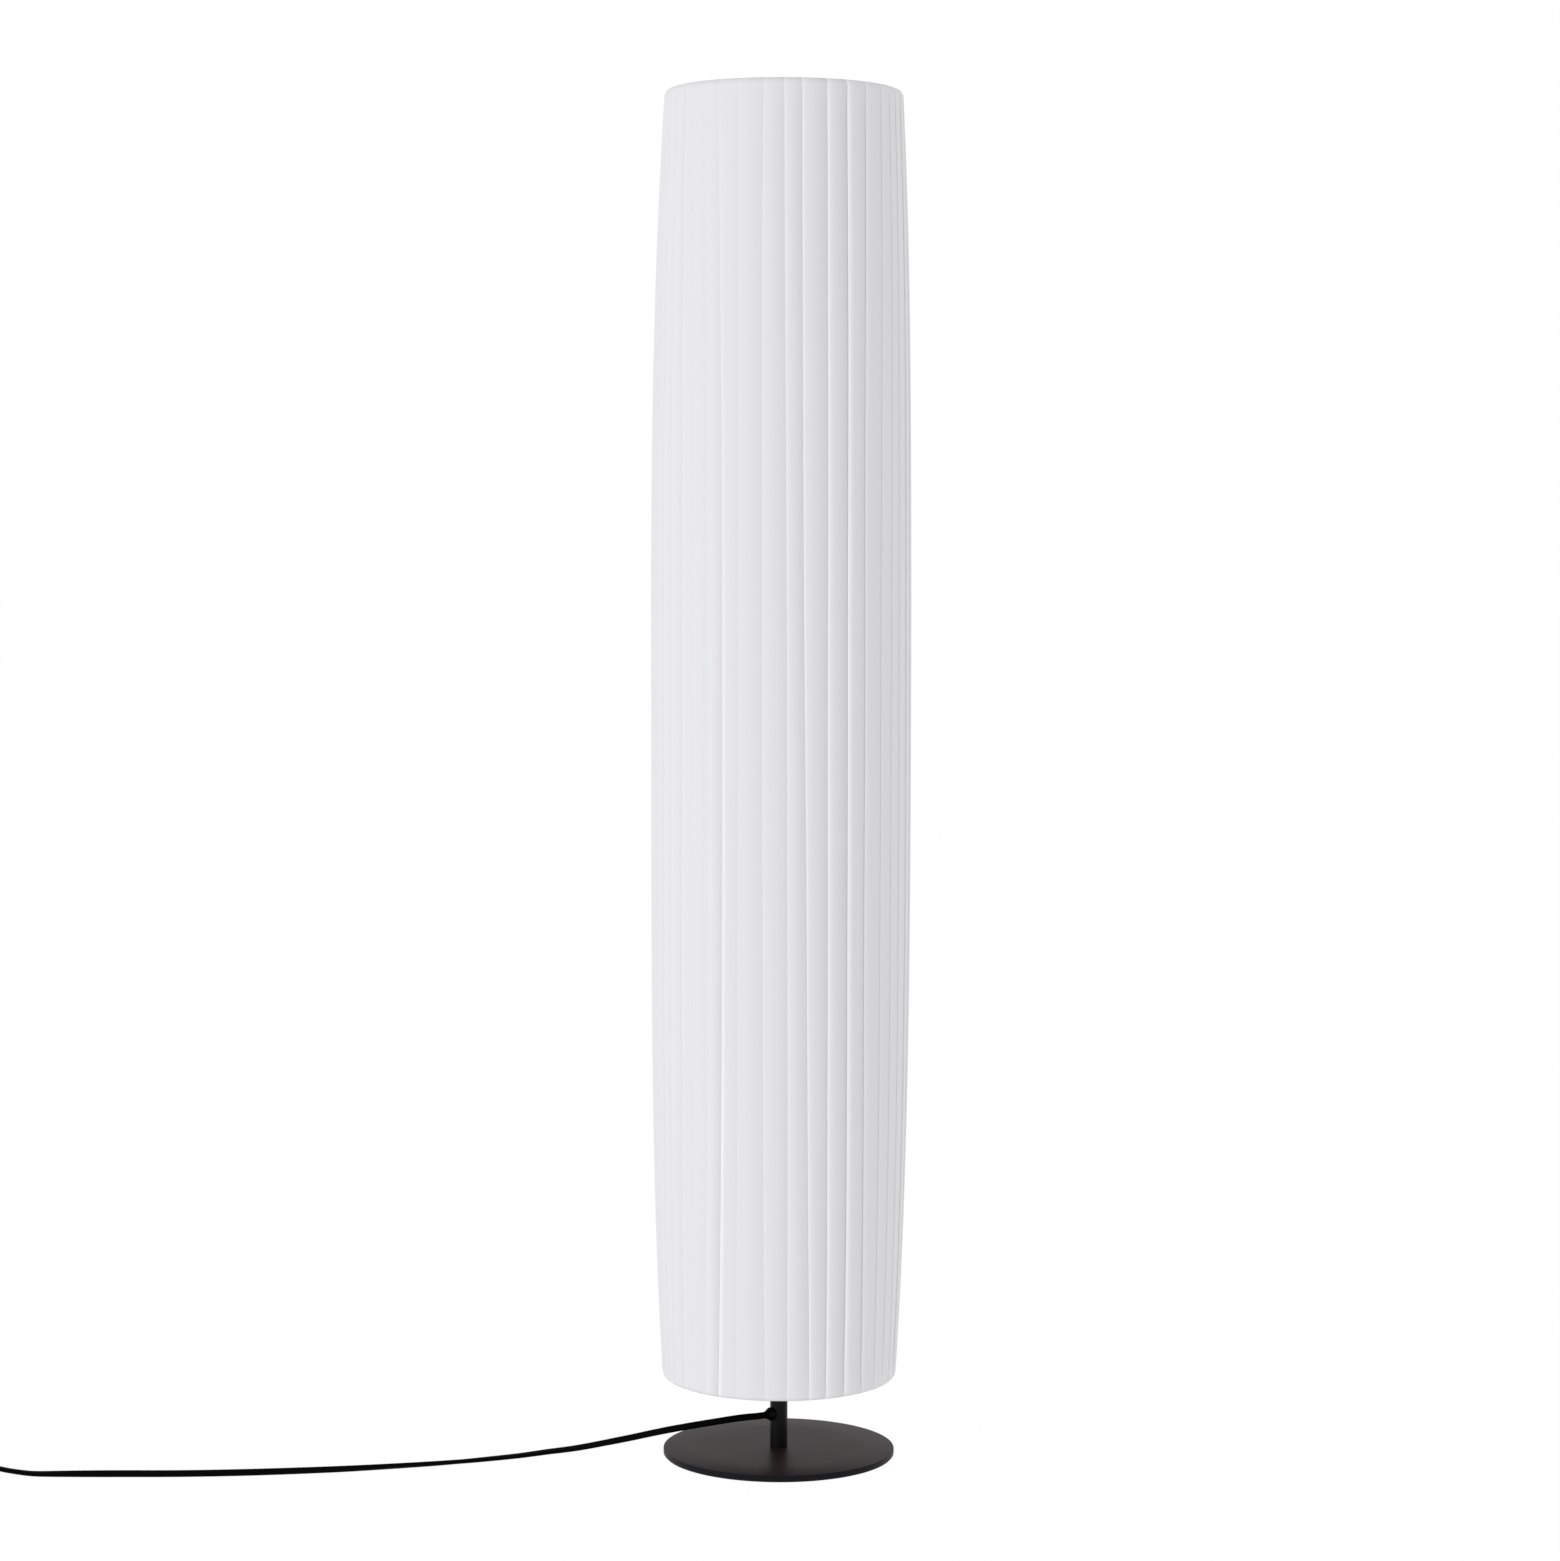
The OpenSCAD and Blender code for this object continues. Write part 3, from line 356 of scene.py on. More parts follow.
# Nickel plating over turned brass: warmer and brighter than zinc
NICKEL = Turned("nickel_plated_brass", "#C9C4BA", "#B4AEA3", (0.16, 0.28), 0.006)
# Drawn brass strip of shells and contacts: yellow, with fine lines
BRASS = Turned("drawn_brass", "#C8A65A", "#AE8A43", (0.22, 0.36), 0.01)
# Aluminium of the bulbs' screw caps: pale and cool
CAP_ALUMINIUM = Turned("drawn_aluminium", "#C2C4C6", "#AEB1B4", (0.24, 0.36), 0.008)
# Cotton and polyester cloth: threads are 0.35 mm apart and drawn coarser, so that they show in the render
# Its colour gets painted light and shade along the folds
PLEAT_CLOTH = Pleated("plain_woven_shade_cloth", "#F3F3F4", "#F8F8F9", (0.86, 0.95), 0.05, 0.2)
# Cotton twill tape, pressed flat over the rings
TAPE_TWILL = Woven("cotton_twill_tape", "#E0DFDD", "#E8E7E5", (0.88, 0.96), 0.08, 0.2, thread_mm=0.6)
# Hook-and-loop tie: matt black fuzz
TIE_LOOP = Woven(
    "brushed_nylon_tie", "#0B0B0B", "#141414", (0.9, 1.0), 0.12, 0.2, thread_mm=0.5, slub_mm=(1.0, 3.0)
)
# Closed-cell foam pad under the plate: dull dark grey, with pores
FOAM = Cellular("closed_cell_foam", "#2C2C2C", "#1B1B1B", (0.9, 1.0), 0.12, 0.2)


# Making pieces


def lathe(profile: Profile, steps: int = 96, closed: bool = False) -> Shape:
    """Turns a profile round the Z axis.

    Args:
        profile: points as radius and height.
        steps: faces round the axis.
        closed: whether the last point joins the first, as on a ring.

    Returns:
        The turned shape.
    """
    bm = bmesh.new()
    points = [bm.verts.new((r, 0, z)) for r, z in profile]
    ends = points[1:] + points[:1] if closed else points[1:]
    edges = [bm.edges.new(pair) for pair in zip(points, ends)]
    bmesh.ops.spin(
        bm, geom=points + edges, axis=(0, 0, 1), cent=(0, 0, 0), angle=FULL_TURN, steps=steps, use_merge=True
    )
    bmesh.ops.remove_doubles(bm, verts=bm.verts, dist=1e-4)
    bmesh.ops.recalc_face_normals(bm, faces=bm.faces)
    return bm


def wire_ring(radius: float, height: float, wire_r: float) -> Shape:
    """Returns a ring of round wire at a height."""
    around = [FULL_TURN * k / WIRE_SIDES for k in range(WIRE_SIDES)]
    return lathe([(radius + wire_r * math.cos(a), height + wire_r * math.sin(a)) for a in around], 144, True)


def rod(radius: float, low: float, high: float) -> Shape:
    """Returns an upright rod, its ends a little rounded."""
    edge = 0.25 * radius
    inner = radius - edge
    profile = [(0, low), (inner, low), (radius, low + edge), (radius, high - edge), (inner, high), (0, high)]
    return lathe(profile, 24)


def fluted(bm: Shape, span: tuple[float, float], inner: float, count: int, depth: float) -> Shape:
    """Presses upright flutes into the outside of a turned shape.

    Args:
        bm: the shape, round the Z axis.
        span: the heights between which it is fluted.
        inner: the radius inside which it stays smooth.
        count: how many flutes.
        depth: how deep they are.

    Returns:
        The same shape.
    """
    for vert in bm.verts:
        r = vert.co.xy.length
        if span[0] <= vert.co.z <= span[1] and r > inner:
            press = depth * (0.5 + 0.5 * math.cos(count * math.atan2(vert.co.y, vert.co.x))) ** 2
            vert.co.x, vert.co.y = (c * (r - press) / r for c in vert.co.xy)
    return bm


def turned(axis: str, degrees: float) -> Matrix:
    """Returns a turn about one of the axes."""
    return Matrix.Rotation(math.radians(degrees), 4, axis)


def moved(x: float, y: float, z: float) -> Matrix:
    """Returns a move along the axes."""
    return Matrix.Translation((x, y, z))


def mirrored(x: float, y: float, z: float) -> list[Matrix]:
    """Returns the moves to a place and to its opposite across the Z axis."""
    return [moved(side * x, side * y, z) for side in (-1, 1)]


def place(bm: Shape, *moves: Matrix) -> Shape:
    """Moves a shape by the given matrices, the last one first."""
    for move in reversed(moves):
        bmesh.ops.transform(bm, matrix=move, verts=bm.verts)
    return bm


def drums(radius: float, depth: float, segments: int, *places: Matrix) -> Shape:
    """Returns a closed cylinder at each place, to cut with or to wrap in a hull."""
    bm = bmesh.new()
    for at in places:
        bmesh.ops.create_cone(
            bm, cap_ends=True, segments=segments, radius1=radius, radius2=radius, depth=depth, matrix=at
        )
    return bm


def joined(*shapes: Shape) -> Shape:
    """Returns one bmesh that holds several shapes."""
    whole = bmesh.new()
    for shape in shapes:
        mesh = bpy.data.meshes.new("part")
        shape.to_mesh(mesh)
        shape.free()
        whole.from_mesh(mesh)
        bpy.data.meshes.remove(mesh)
    return whole


def hulled(bm: Shape) -> Shape:
    """Wraps a shape's vertices in their hull, with flat sides as single faces."""
    bmesh.ops.delete(bm, geom=bm.edges[:] + bm.faces[:], context="EDGES_FACES")
    made = bmesh.ops.convex_hull(bm, input=bm.verts[:])
    spare = {v for v in made["geom_interior"] + made["geom_unused"] if isinstance(v, bmesh.types.BMVert)}
    bmesh.ops.delete(bm, geom=list(spare), context="VERTS")
    bmesh.ops.dissolve_limit(bm, angle_limit=math.radians(1), verts=bm.verts, edges=bm.edges)
    return bm


def lead_way(depth: float, at: Matrix) -> Shape:
    """Returns the flat hole that the lead needs: upright, wide along Y, and then moved to its place."""
    wide, thick = LEAD_WAY
    return hulled(drums(thick / 2, depth, 24, *(at @ side for side in mirrored(0, (wide - thick) / 2, 0))))


def softened(bm: Shape, edges: list, radius: float, segments: int) -> Shape:
    """Rounds edges of a shape."""
    bmesh.ops.bevel(
        bm, geom=edges, offset=radius, segments=segments, profile=0.5, affect="EDGES", material=-1,
        clamp_overlap=True,
    )
    return bm


def carved(body: Shape, *tools: Shape) -> Shape:
    """Cuts tools out of a body.

    Args:
        body: the shape to cut.
        *tools: closed shapes to take away. They and the body are used up.

    Returns:
        What is left.
    """
    blanks = []
    for shape in (body, *tools):
        mesh = bpy.data.meshes.new("blank")
        shape.to_mesh(mesh)
        shape.free()
        blank = bpy.data.objects.new("blank", mesh)
        bpy.context.scene.collection.objects.link(blank)
        blanks.append(blank)
    for tool in blanks[1:]:
        cut = blanks[0].modifiers.new("cut", "BOOLEAN")
        cut.operation, cut.solver, cut.object = "DIFFERENCE", "EXACT", tool
    left = bmesh.new()
    left.from_object(blanks[0], bpy.context.evaluated_depsgraph_get())
    for blank in blanks:
        mesh = blank.data
        bpy.data.objects.remove(blank)
        bpy.data.meshes.remove(mesh)
    return left


@dataclass(frozen=True)
class Seat:
    """Where a piece belongs: its body, its material slot and the CAD nodes it stands for."""

    body: Body
    slot: str
    nodes: tuple[str, ...] = ()


def deliver(
    name: str, bm: Shape, finish: Finish, seat: Seat, sharp: float = 35.0, thickness: float = 0.0
) -> Piece:
    """Turns a shape in millimetres into a finished piece of the lamp.

    Args:
        name: the piece's name.
        bm: its shape, which is used up.
        finish: its material.
        seat: where it belongs.
        sharp: faces that meet at more degrees than this keep a hard edge.
        thickness: the wall that an open sheet gets, in millimetres.

    Returns:
        The piece.
    """
    bmesh.ops.scale(bm, vec=(MM, MM, MM), verts=bm.verts)
    for face in bm.faces:
        face.smooth = True
    for edge in bm.edges:
        edge.smooth = len(edge.link_faces) != 2 or math.degrees(edge.calc_face_angle(0)) < sharp
    mesh = bpy.data.meshes.new(name)
    bm.to_mesh(mesh)
    bm.free()
    mesh.materials.append(finish.material())
    piece = bpy.data.objects.new(name, mesh)
    bpy.context.scene.collection.objects.link(piece)
    if thickness:
        wall = piece.modifiers.new("thickness", "SOLIDIFY")
        wall.thickness, wall.offset = thickness * MM, 0.0
    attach(piece, seat.body.value)
    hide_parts(*seat.nodes)
    LOG.info("%s: %d faces in %s, on %s", name, len(mesh.polygons), finish.name, seat.body.value)
    return piece


def refinish(finish: Finish, *nodes: str) -> None:
    """Gives CAD nodes that stay in view their finish."""
    for name in nodes:
        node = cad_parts[name]
        if not node.material_slots:
            node.data.materials.append(None)
        for slot in node.material_slots:
            slot.material = finish.material()
        LOG.info("%s: kept from the frame, in %s", name, finish.name)


# The supply lead


@dataclass(frozen=True)
class Stop:
    """A point on the lead's way, with the roll of its flat side in degrees."""

    at: Vector
    roll: float

    def plus(self, x: float, y: float, z: float = 0.0) -> "Stop":
        """Returns a stop beside this one, with the same roll."""
        return Stop(self.at + Vector((x, y, z)), self.roll)


def smooth_way(stops: Sequence[Stop], parts: int) -> list[Stop]:
    """Runs one smooth line through given stops.

    Args:
        stops: the points to pass.
        parts: how many pieces each span gets.

    Returns:
        The line's points. Tangents are held to the shorter neighbour, so that it never folds back.
    """
    rows = [(*s.at, s.roll) for s in stops]
    last = len(rows) - 1

    def pull(i: int) -> list[float]:
        """Returns the tangent at a stop."""
        low, high = rows[max(i - 1, 0)], rows[min(i + 1, last)]
        chord = [b - a for a, b in zip(low, high)]
        if i in (0, last):
            return chord
        reach = min(math.dist(rows[i][:3], low[:3]), math.dist(rows[i][:3], high[:3]))
        return [c * reach / math.dist(low[:3], high[:3]) for c in chord]

    line = []
    for i in range(last):
        a, b, pa, pb = rows[i], rows[i + 1], pull(i), pull(i + 1)
        for k in range(parts):
            t = k / parts
            weights = (2 * t**3 - 3 * t**2 + 1, 3 * t**2 - 2 * t**3, t**3 - 2 * t**2 + t, t**3 - t**2)
            x, y, z, roll = (sum(w * v for w, v in zip(weights, vs)) for vs in zip(a, b, pa, pb))
            line.append(Stop(Vector((x, y, z)), roll))
    return line + [stops[-1]]


def tube(way: Sequence[Stop], width: float, thick: float, sides: int, up: Vector) -> Shape:
    """Lays a closed flat-sided tube along a way, with a UV map in metres round and along it.

    Args:
        way: the centreline.
        width: across the flat side.
        thick: through it.
        sides: points round the tube.
        up: the direction from which the roll is counted.

    Returns:
        The tube.
    """
    bm = bmesh.new()
    half = (width - thick) / 2
    rings = []
    for i, stop in enumerate(way):
        along = (way[min(i + 1, len(way) - 1)].at - way[max(i - 1, 0)].at).normalized()
        side = along.cross(up).normalized()
        rise = side.cross(along)
        turn = math.radians(stop.roll)
        flat = side * math.cos(turn) + rise * math.sin(turn)
        through = rise * math.cos(turn) - side * math.sin(turn)
        ring = []
        for k in range(sides):
            a = FULL_TURN * (k + 0.5) / sides
            x = math.copysign(half, math.cos(a)) + thick / 2 * math.cos(a)
            ring.append(bm.verts.new(stop.at + flat * x + through * (thick / 2 * math.sin(a))))
        rings.append(ring)
    uv = bm.loops.layers.uv.new("sheath")
    girth = 1.4 * (width + thick)
    run = 0.0
    for i, (low, high) in enumerate(zip(rings, rings[1:])):
        step = (way[i + 1].at - way[i].at).length * MM
        for k in range(sides):
            n = (k + 1) % sides
            face = bm.faces.new((low[k], low[n], high[n], high[k]))
            for loop, (u, v) in zip(face.loops, ((k, 0), (k + 1, 0), (k + 1, 1), (k, 1))):
                loop[uv].uv = (u * girth * MM / sides, run + v * step)
        run += step
    bm.faces.new(reversed(rings[0]))
    bm.faces.new(rings[-1])
    bmesh.ops.recalc_face_normals(bm, faces=bm.faces)
    return bm


@dataclass
class SupplyLead:
    """The flat two-core lead: out of the bush, over the plate, through the foot switch and into its coil."""

    bush: "Bush"
    switch: "FootSwitch"
    width: float = 6.0
    thick: float = 3.9
    sides: int = 20
    start: float = 4.35
    in_switch: float = 37.0
    switch_roll: float = -180.0
    coil_x: float = -840.0
    coil_roll: float = -270.0
    coil_in_r: float = 27.5
    coil_pitch: float = 4.9
    coil_turns: float = 5.25
    coil_low_z: float = 3.9
    coil_layer: float = 6.6
    rings_a_turn: int = 48
    # x, y, height and roll from the bush to the foot switch
    run: tuple[tuple[float, float, float, float], ...] = (
        (-18, -14, 36.4, 70), (-26, -17.5, 36.5, 70), (-36, -19.5, 35.8, 70), (-48, -20, 34, 70),
        (-62, -19.5, 31.5, 69), (-78, -18.5, 28.5, 68), (-95, -17, 25, 66), (-112, -15, 21, 60),
        (-130, -13, 16.5, 52), (-148, -11.5, 12.4, 44), (-165, -10, 8.6, 36), (-180, -9, 5.6, 30),
        (-193, -8.5, 3.6, 24), (-204, -10, 2.6, 18), (-216, -15.5, 2.2, 12), (-230, -23, 2.1, 6),
        (-250, -32, 2.1, 0), (-275, -42.5, 2.2, -12), (-305, -53, 2.4, -28), (-340, -63, 2.6, -42),
        (-380, -73.5, 2.9, -62), (-425, -82, 3.1, -78), (-470, -88, 3.1, -90), (-520, -92, 3.1, -90),
        (-570, -93, 3.1, -105), (-612, -93, 2.8, -140), (-645, -92.5, 2.6, -170), (-666, -92, 5, -180),
        (-683, -92, 8.4, -180),
    )
    # The same from the foot switch to the coil
    link: tuple[tuple[float, float, float, float], ...] = (
        (-782, -92, 8.7, -180), (-792, -92, 7.4, -215), (-803, -92, 5.4, -250), (-814, -92, 4.2, -268),
    )
    # y and height from the coil to the plug
    tail: tuple[tuple[float, float], ...] = (
        (-42.6, 10.5), (-39.6, 10.5), (-28, 9.9), (-19, 8.6), (-10, 7.4), (-4, 6.85), (-1, 6.85), (2, 6.85),
    )

    def outlet(self, reach: float) -> Vector:
        """Returns the point on the bush's axis at a distance from the lamp's axis."""
        az = math.radians(self.bush.azimuth)
        return Vector((reach * math.cos(az), reach * math.sin(az), self.bush.height))

    def coil(self) -> list[Stop]:
        """Returns the coil's points: a spiral in, and out again a layer higher.

        It starts at the front, and climbs during the half turn in its middle.
        """
        half = self.coil_turns / 2
        centre_y = self.switch.at[1] + self.coil_in_r + self.coil_pitch * half
        stops = []
        for k in range(round(self.coil_turns * self.rings_a_turn) + 1):
            t = k / self.rings_a_turn
            a = math.radians(270 - 360 * t)
            r = self.coil_in_r + self.coil_pitch * abs(t - half)
            s = min(1.0, max(0.0, (t - half) / 0.5 + 0.5))
            z = self.coil_low_z + self.coil_layer * s * s * (3 - 2 * s)
            at = Vector((self.coil_x + r * math.cos(a), centre_y + r * math.sin(a), z))
            stops.append(Stop(at, self.coil_roll))
        return stops

    def way(self) -> list[Stop]:
        """Returns the whole centreline, from inside the bush to inside the plug."""
        roll = self.run[0][3]
        bush = [Stop(self.outlet(reach), roll) for reach in (self.start, self.bush.nose_end)]
        x, y, floor = self.switch.at
        enters, leaves = (
            Stop(Vector((x + side * self.in_switch, y, floor + self.switch.split)), self.switch_roll)
            for side in (1, -1)
        )
        run, link = ([Stop(Vector(p[:3]), p[3]) for p in points] for points in (self.run, self.link))
        coil = self.coil()
        start = coil[0].plus(self.width, 0)
        lead_in = [start.plus(2 * self.width, 0), start.plus(self.width, 0), start]
        tail = [Stop(Vector((coil[-1].at.x, y, z)), self.coil_roll) for y, z in self.tail]
        first = smooth_way([*bush, *run, enters], 5)
        second = smooth_way([leaves, *link, *lead_in], 4)
        last = smooth_way([coil[-1], *tail], 3)
        return first + second + coil + last[1:]

    def build(self, with_pieces: Sequence[Piece]) -> Piece:
        """Args:
            with_pieces: the switch, tie and plug pieces on it; not used.

        Returns:
            The lead.
        """
        way = self.way()
        bm = tube(way, self.width, self.thick, self.sides, Vector((0, 0, 1)))
        seat = Seat(Body.STAND, "lead_black", ("cord_run", "cord_link", "cord_coil", "cord_tail"))
        lead = deliver("supply_lead", bm, CORD_PVC, seat, sharp=60)
        length = sum((b.at - a.at).length for a, b in zip(way, way[1:])) * MM
        tuple(self.outlet(self.bush.nose_end) * MM)
        LOG.info("lead: %.3f m long", length)
        return lead


@dataclass
class CoilTie:
    """The hook-and-loop strap that holds the coil."""

    centre: tuple[float, float] = (-840.0, -51.6375)
    azimuth: float = 20.0
    inner: float = 23.75
    outer: float = 43.21
    top: float = 14.3
    width: float = 9.0
    cut_width: float = 10.0
    thick: float = 0.6
    bend_r: float = 1.8

    def build(self) -> Piece:
        """Bends the strap round the turns and closes it."""
        bm = bmesh.new()
        t = self.thick / 2
        near, far, low, high = self.inner + t, self.outer - t, t, self.top - t
        outline = ((near, low), (far, low), (far, high), (near, high))
        corners = [bm.verts.new((x, -self.width / 2, z)) for x, z in outline]
        for a, b in zip(corners, corners[1:] + corners[:1]):
            bm.edges.new((a, b))
        bmesh.ops.bevel(
            bm, geom=bm.verts[:], offset=self.bend_r, segments=4, profile=0.5, affect="VERTICES", material=-1
        )
        bmesh.ops.subdivide_edges(bm, edges=[e for e in bm.edges if e.calc_length() > 5], cuts=5)
        strip = bmesh.ops.extrude_edge_only(bm, edges=bm.edges[:])
        other_side = [v for v in strip["geom"] if isinstance(v, bmesh.types.BMVert)]
        bmesh.ops.translate(bm, vec=(0, self.width, 0), verts=other_side)
        uv = bm.loops.layers.uv.new("strap")
        for face in bm.faces:
            for loop in face.loops:
                x, y, z = loop.vert.co
                loop[uv].uv = ((x + z) * MM, y * MM)
        bmesh.ops.recalc_face_normals(bm, faces=bm.faces)
        place(bm, moved(*self.centre, 0), turned("Z", self.azimuth))
        seat = Seat(Body.STAND, "tie_black", ("coil_tie",))
        tie = deliver("coil_strap", bm, TIE_LOOP, seat, 60, self.thick)
        return tie


# Base and stand


@dataclass
class Base:
    """Steel plate on a foam pad, with its screw from below."""

    plate_r: float = 102.5
    plate_low: float = 0.8
    plate_high: float = 5.8
    edge: float = 0.6
    pad_r: float = 101.5
    pad_hole: float = 12.0
    screw_way: float = 4.4
    sink_r: float = 8.4
    sink_h: float = 4.0
    # Rings of vertices that keep the top's faces short
    top_rings: tuple[float, ...] = (30.0, 70.0)

    def plate(self) -> Piece:
        """Turns the plate with its rounded edges and the countersink in its underside."""
        corner = [math.radians(a) for a in (0, 22.5, 45, 67.5, 90)]
        in_r, e = self.plate_r - self.edge, self.edge
        upper = [(in_r + e * math.sin(a), self.plate_high - e + e * math.cos(a)) for a in corner]
        lower = [(in_r + e * math.cos(a), self.plate_low + e - e * math.sin(a)) for a in corner]
        sink = [(self.sink_r, self.plate_low), (self.screw_way, self.plate_low + self.sink_h)]
        top = [(r, self.plate_high) for r in (self.screw_way, *self.top_rings)]
        bm = lathe([*upper, *lower, *sink, *top], 240, True)
        return deliver("plate", bm, PLATE_COAT, Seat(Body.STAND, "black_plate", ("base_plate",)), 30)

    def pad(self) -> Piece:
        """Cuts the foam pad, its edges a little rounded where it is pressed."""
        top = self.plate_low
        ring = [
            (self.pad_hole, 0), (self.pad_r - 0.2, 0), (self.pad_r, 0.2), (self.pad_r, top - 0.1),
            (self.pad_r - 0.1, top), (self.pad_hole, top),
        ]
        pad = deliver("foot_pad", lathe(ring, 160, True), FOAM, Seat(Body.STAND, "foam", ("base_pad",)), 50)
        return pad

    def build(self) -> None:
        """Builds the base's pieces and dresses the ones kept from the frame."""
        self.plate()
        self.pad()
        refinish(ZINC, "base_screw", "foot_plug")


@dataclass
class Bush:
    """The round black bush in the post, which holds the flat lead."""

    azimuth: float = 218.0
    height: float = 36.2
    start: float = 4.25
    body_r: float = 4.4
    seat_at: float = 8.05
    flange_r: float = 6.0
    flange_end: float = 10.75
    nose_r: float = 4.1
    nose_end: float = 13.75
    roll: float = 70.0

    def outward(self) -> tuple[Matrix, Matrix]:
        """Returns the moves that lay an upright shape along the bush's axis."""
        return moved(0, 0, self.height), turned("Z", self.azimuth) @ turned("Y", 90)

    def build(self) -> Piece:
        """Turns the bush along its own axis and cuts the lead's way through it."""
        f, n, e = self.flange_r, self.nose_r, self.flange_end
        profile = [
            (0, self.start), (self.body_r, self.start), (self.body_r, self.seat_at),
            (f - 0.5, self.seat_at), (f - 0.15, self.seat_at + 0.2), (f, self.seat_at + 0.6),
            (f, e - 1.1), (f - 0.25, e - 0.5), (f - 0.9, e - 0.1), (n + 1.0, e), (n + 0.7, e + 0.3),
            (n + 0.3, e + 1.4), (n, self.nose_end - 0.5), (n - 0.4, self.nose_end), (0, self.nose_end),
        ]
        bm = carved(lathe(profile, 64), place(lead_way(30, moved(0, 0, 10)), turned("Z", -self.roll)))
        place(bm, *self.outward())
        return deliver("lead_bush", bm, PLUG_PVC, Seat(Body.STAND, "lead_black", ("cord_bush",)), 30)


@dataclass
class Stand:
    """Lower post, joint piece, upper pole and what they carry inside the shade."""

    post_r: float = 7.75
    post_wall: float = 1.5
    post_low: float = 5.8
    post_high: float = 98.0
    hole_r: float = 4.5
    cross_z: float = 73.2
    cross_r: float = 11.75
    cross_h: float = 8.0
    cross_tip: float = 96.374
    cross_wire: float = 2.0
    cross_grub: tuple[float, float] = (150.0, 2.1)
    arms: tuple[float, ...] = (90.0, 210.0, 330.0)
    bush: Bush = field(default_factory=Bush)

    def post(self) -> Piece:
        """Cuts the lower post from tube, with the bush's hole in it."""
        in_r = self.post_r - self.post_wall
        ring = [
            (in_r, self.post_low), (self.post_r - 0.15, self.post_low),
            (self.post_r, self.post_low + 0.15), (self.post_r, self.post_high), (in_r, self.post_high),
        ]
        # The tool starts near the axis and reaches out through the wall
        hole = place(drums(self.hole_r, 20, 40, moved(0, 0, 12)), *self.bush.outward())
        bm = carved(lathe(ring, 96, True), hole)
        return deliver("post", bm, TUBE_LACQUER, Seat(Body.STAND, "black_tube", ("lower_post",)), 30)

    def cross(self) -> Piece:
        """Turns the collar that centres the shade's lower ring and sets its three wires."""
        r, bore, half = self.cross_r, self.post_r + 0.1, self.cross_h / 2
        ring = [
            (bore, -half), (r - 0.8, -half), (r - 0.2, 0.3 - half), (r, 1 - half), (r, half - 1),
            (r - 0.2, half - 0.3), (r - 0.8, half), (bore, half),
        ]
        aim, grub_r = self.cross_grub
        hole = place(rod(grub_r, self.post_r - 2, r + 2), turned("Z", aim), turned("Y", 90))
        wires = [
            place(rod(self.cross_wire, self.post_r + 1, self.cross_tip), turned("Z", arm), turned("Y", 90))
            for arm in self.arms
        ]
        bm = place(joined(carved(lathe(ring, 72, True), hole), *wires), moved(0, 0, self.cross_z))
        return deliver("lower_cross", bm, WIRE_COAT, Seat(Body.STAND, "white_wire", ("centring_cross",)), 40)

    def build(self) -> None:
        """Builds the stand's pieces and dresses the ones kept from the frame."""
        self.post()
        self.cross()
        self.bush.build()
        refinish(TUBE_LACQUER, "upper_pole", "lower_arm", "upper_arm")
        refinish(NICKEL, "pole_joint", "pole_stud")
        refinish(ZINC, "grub_screws")
        refinish(LEAD_PVC, "lower_lead", "upper_lead")


# Light


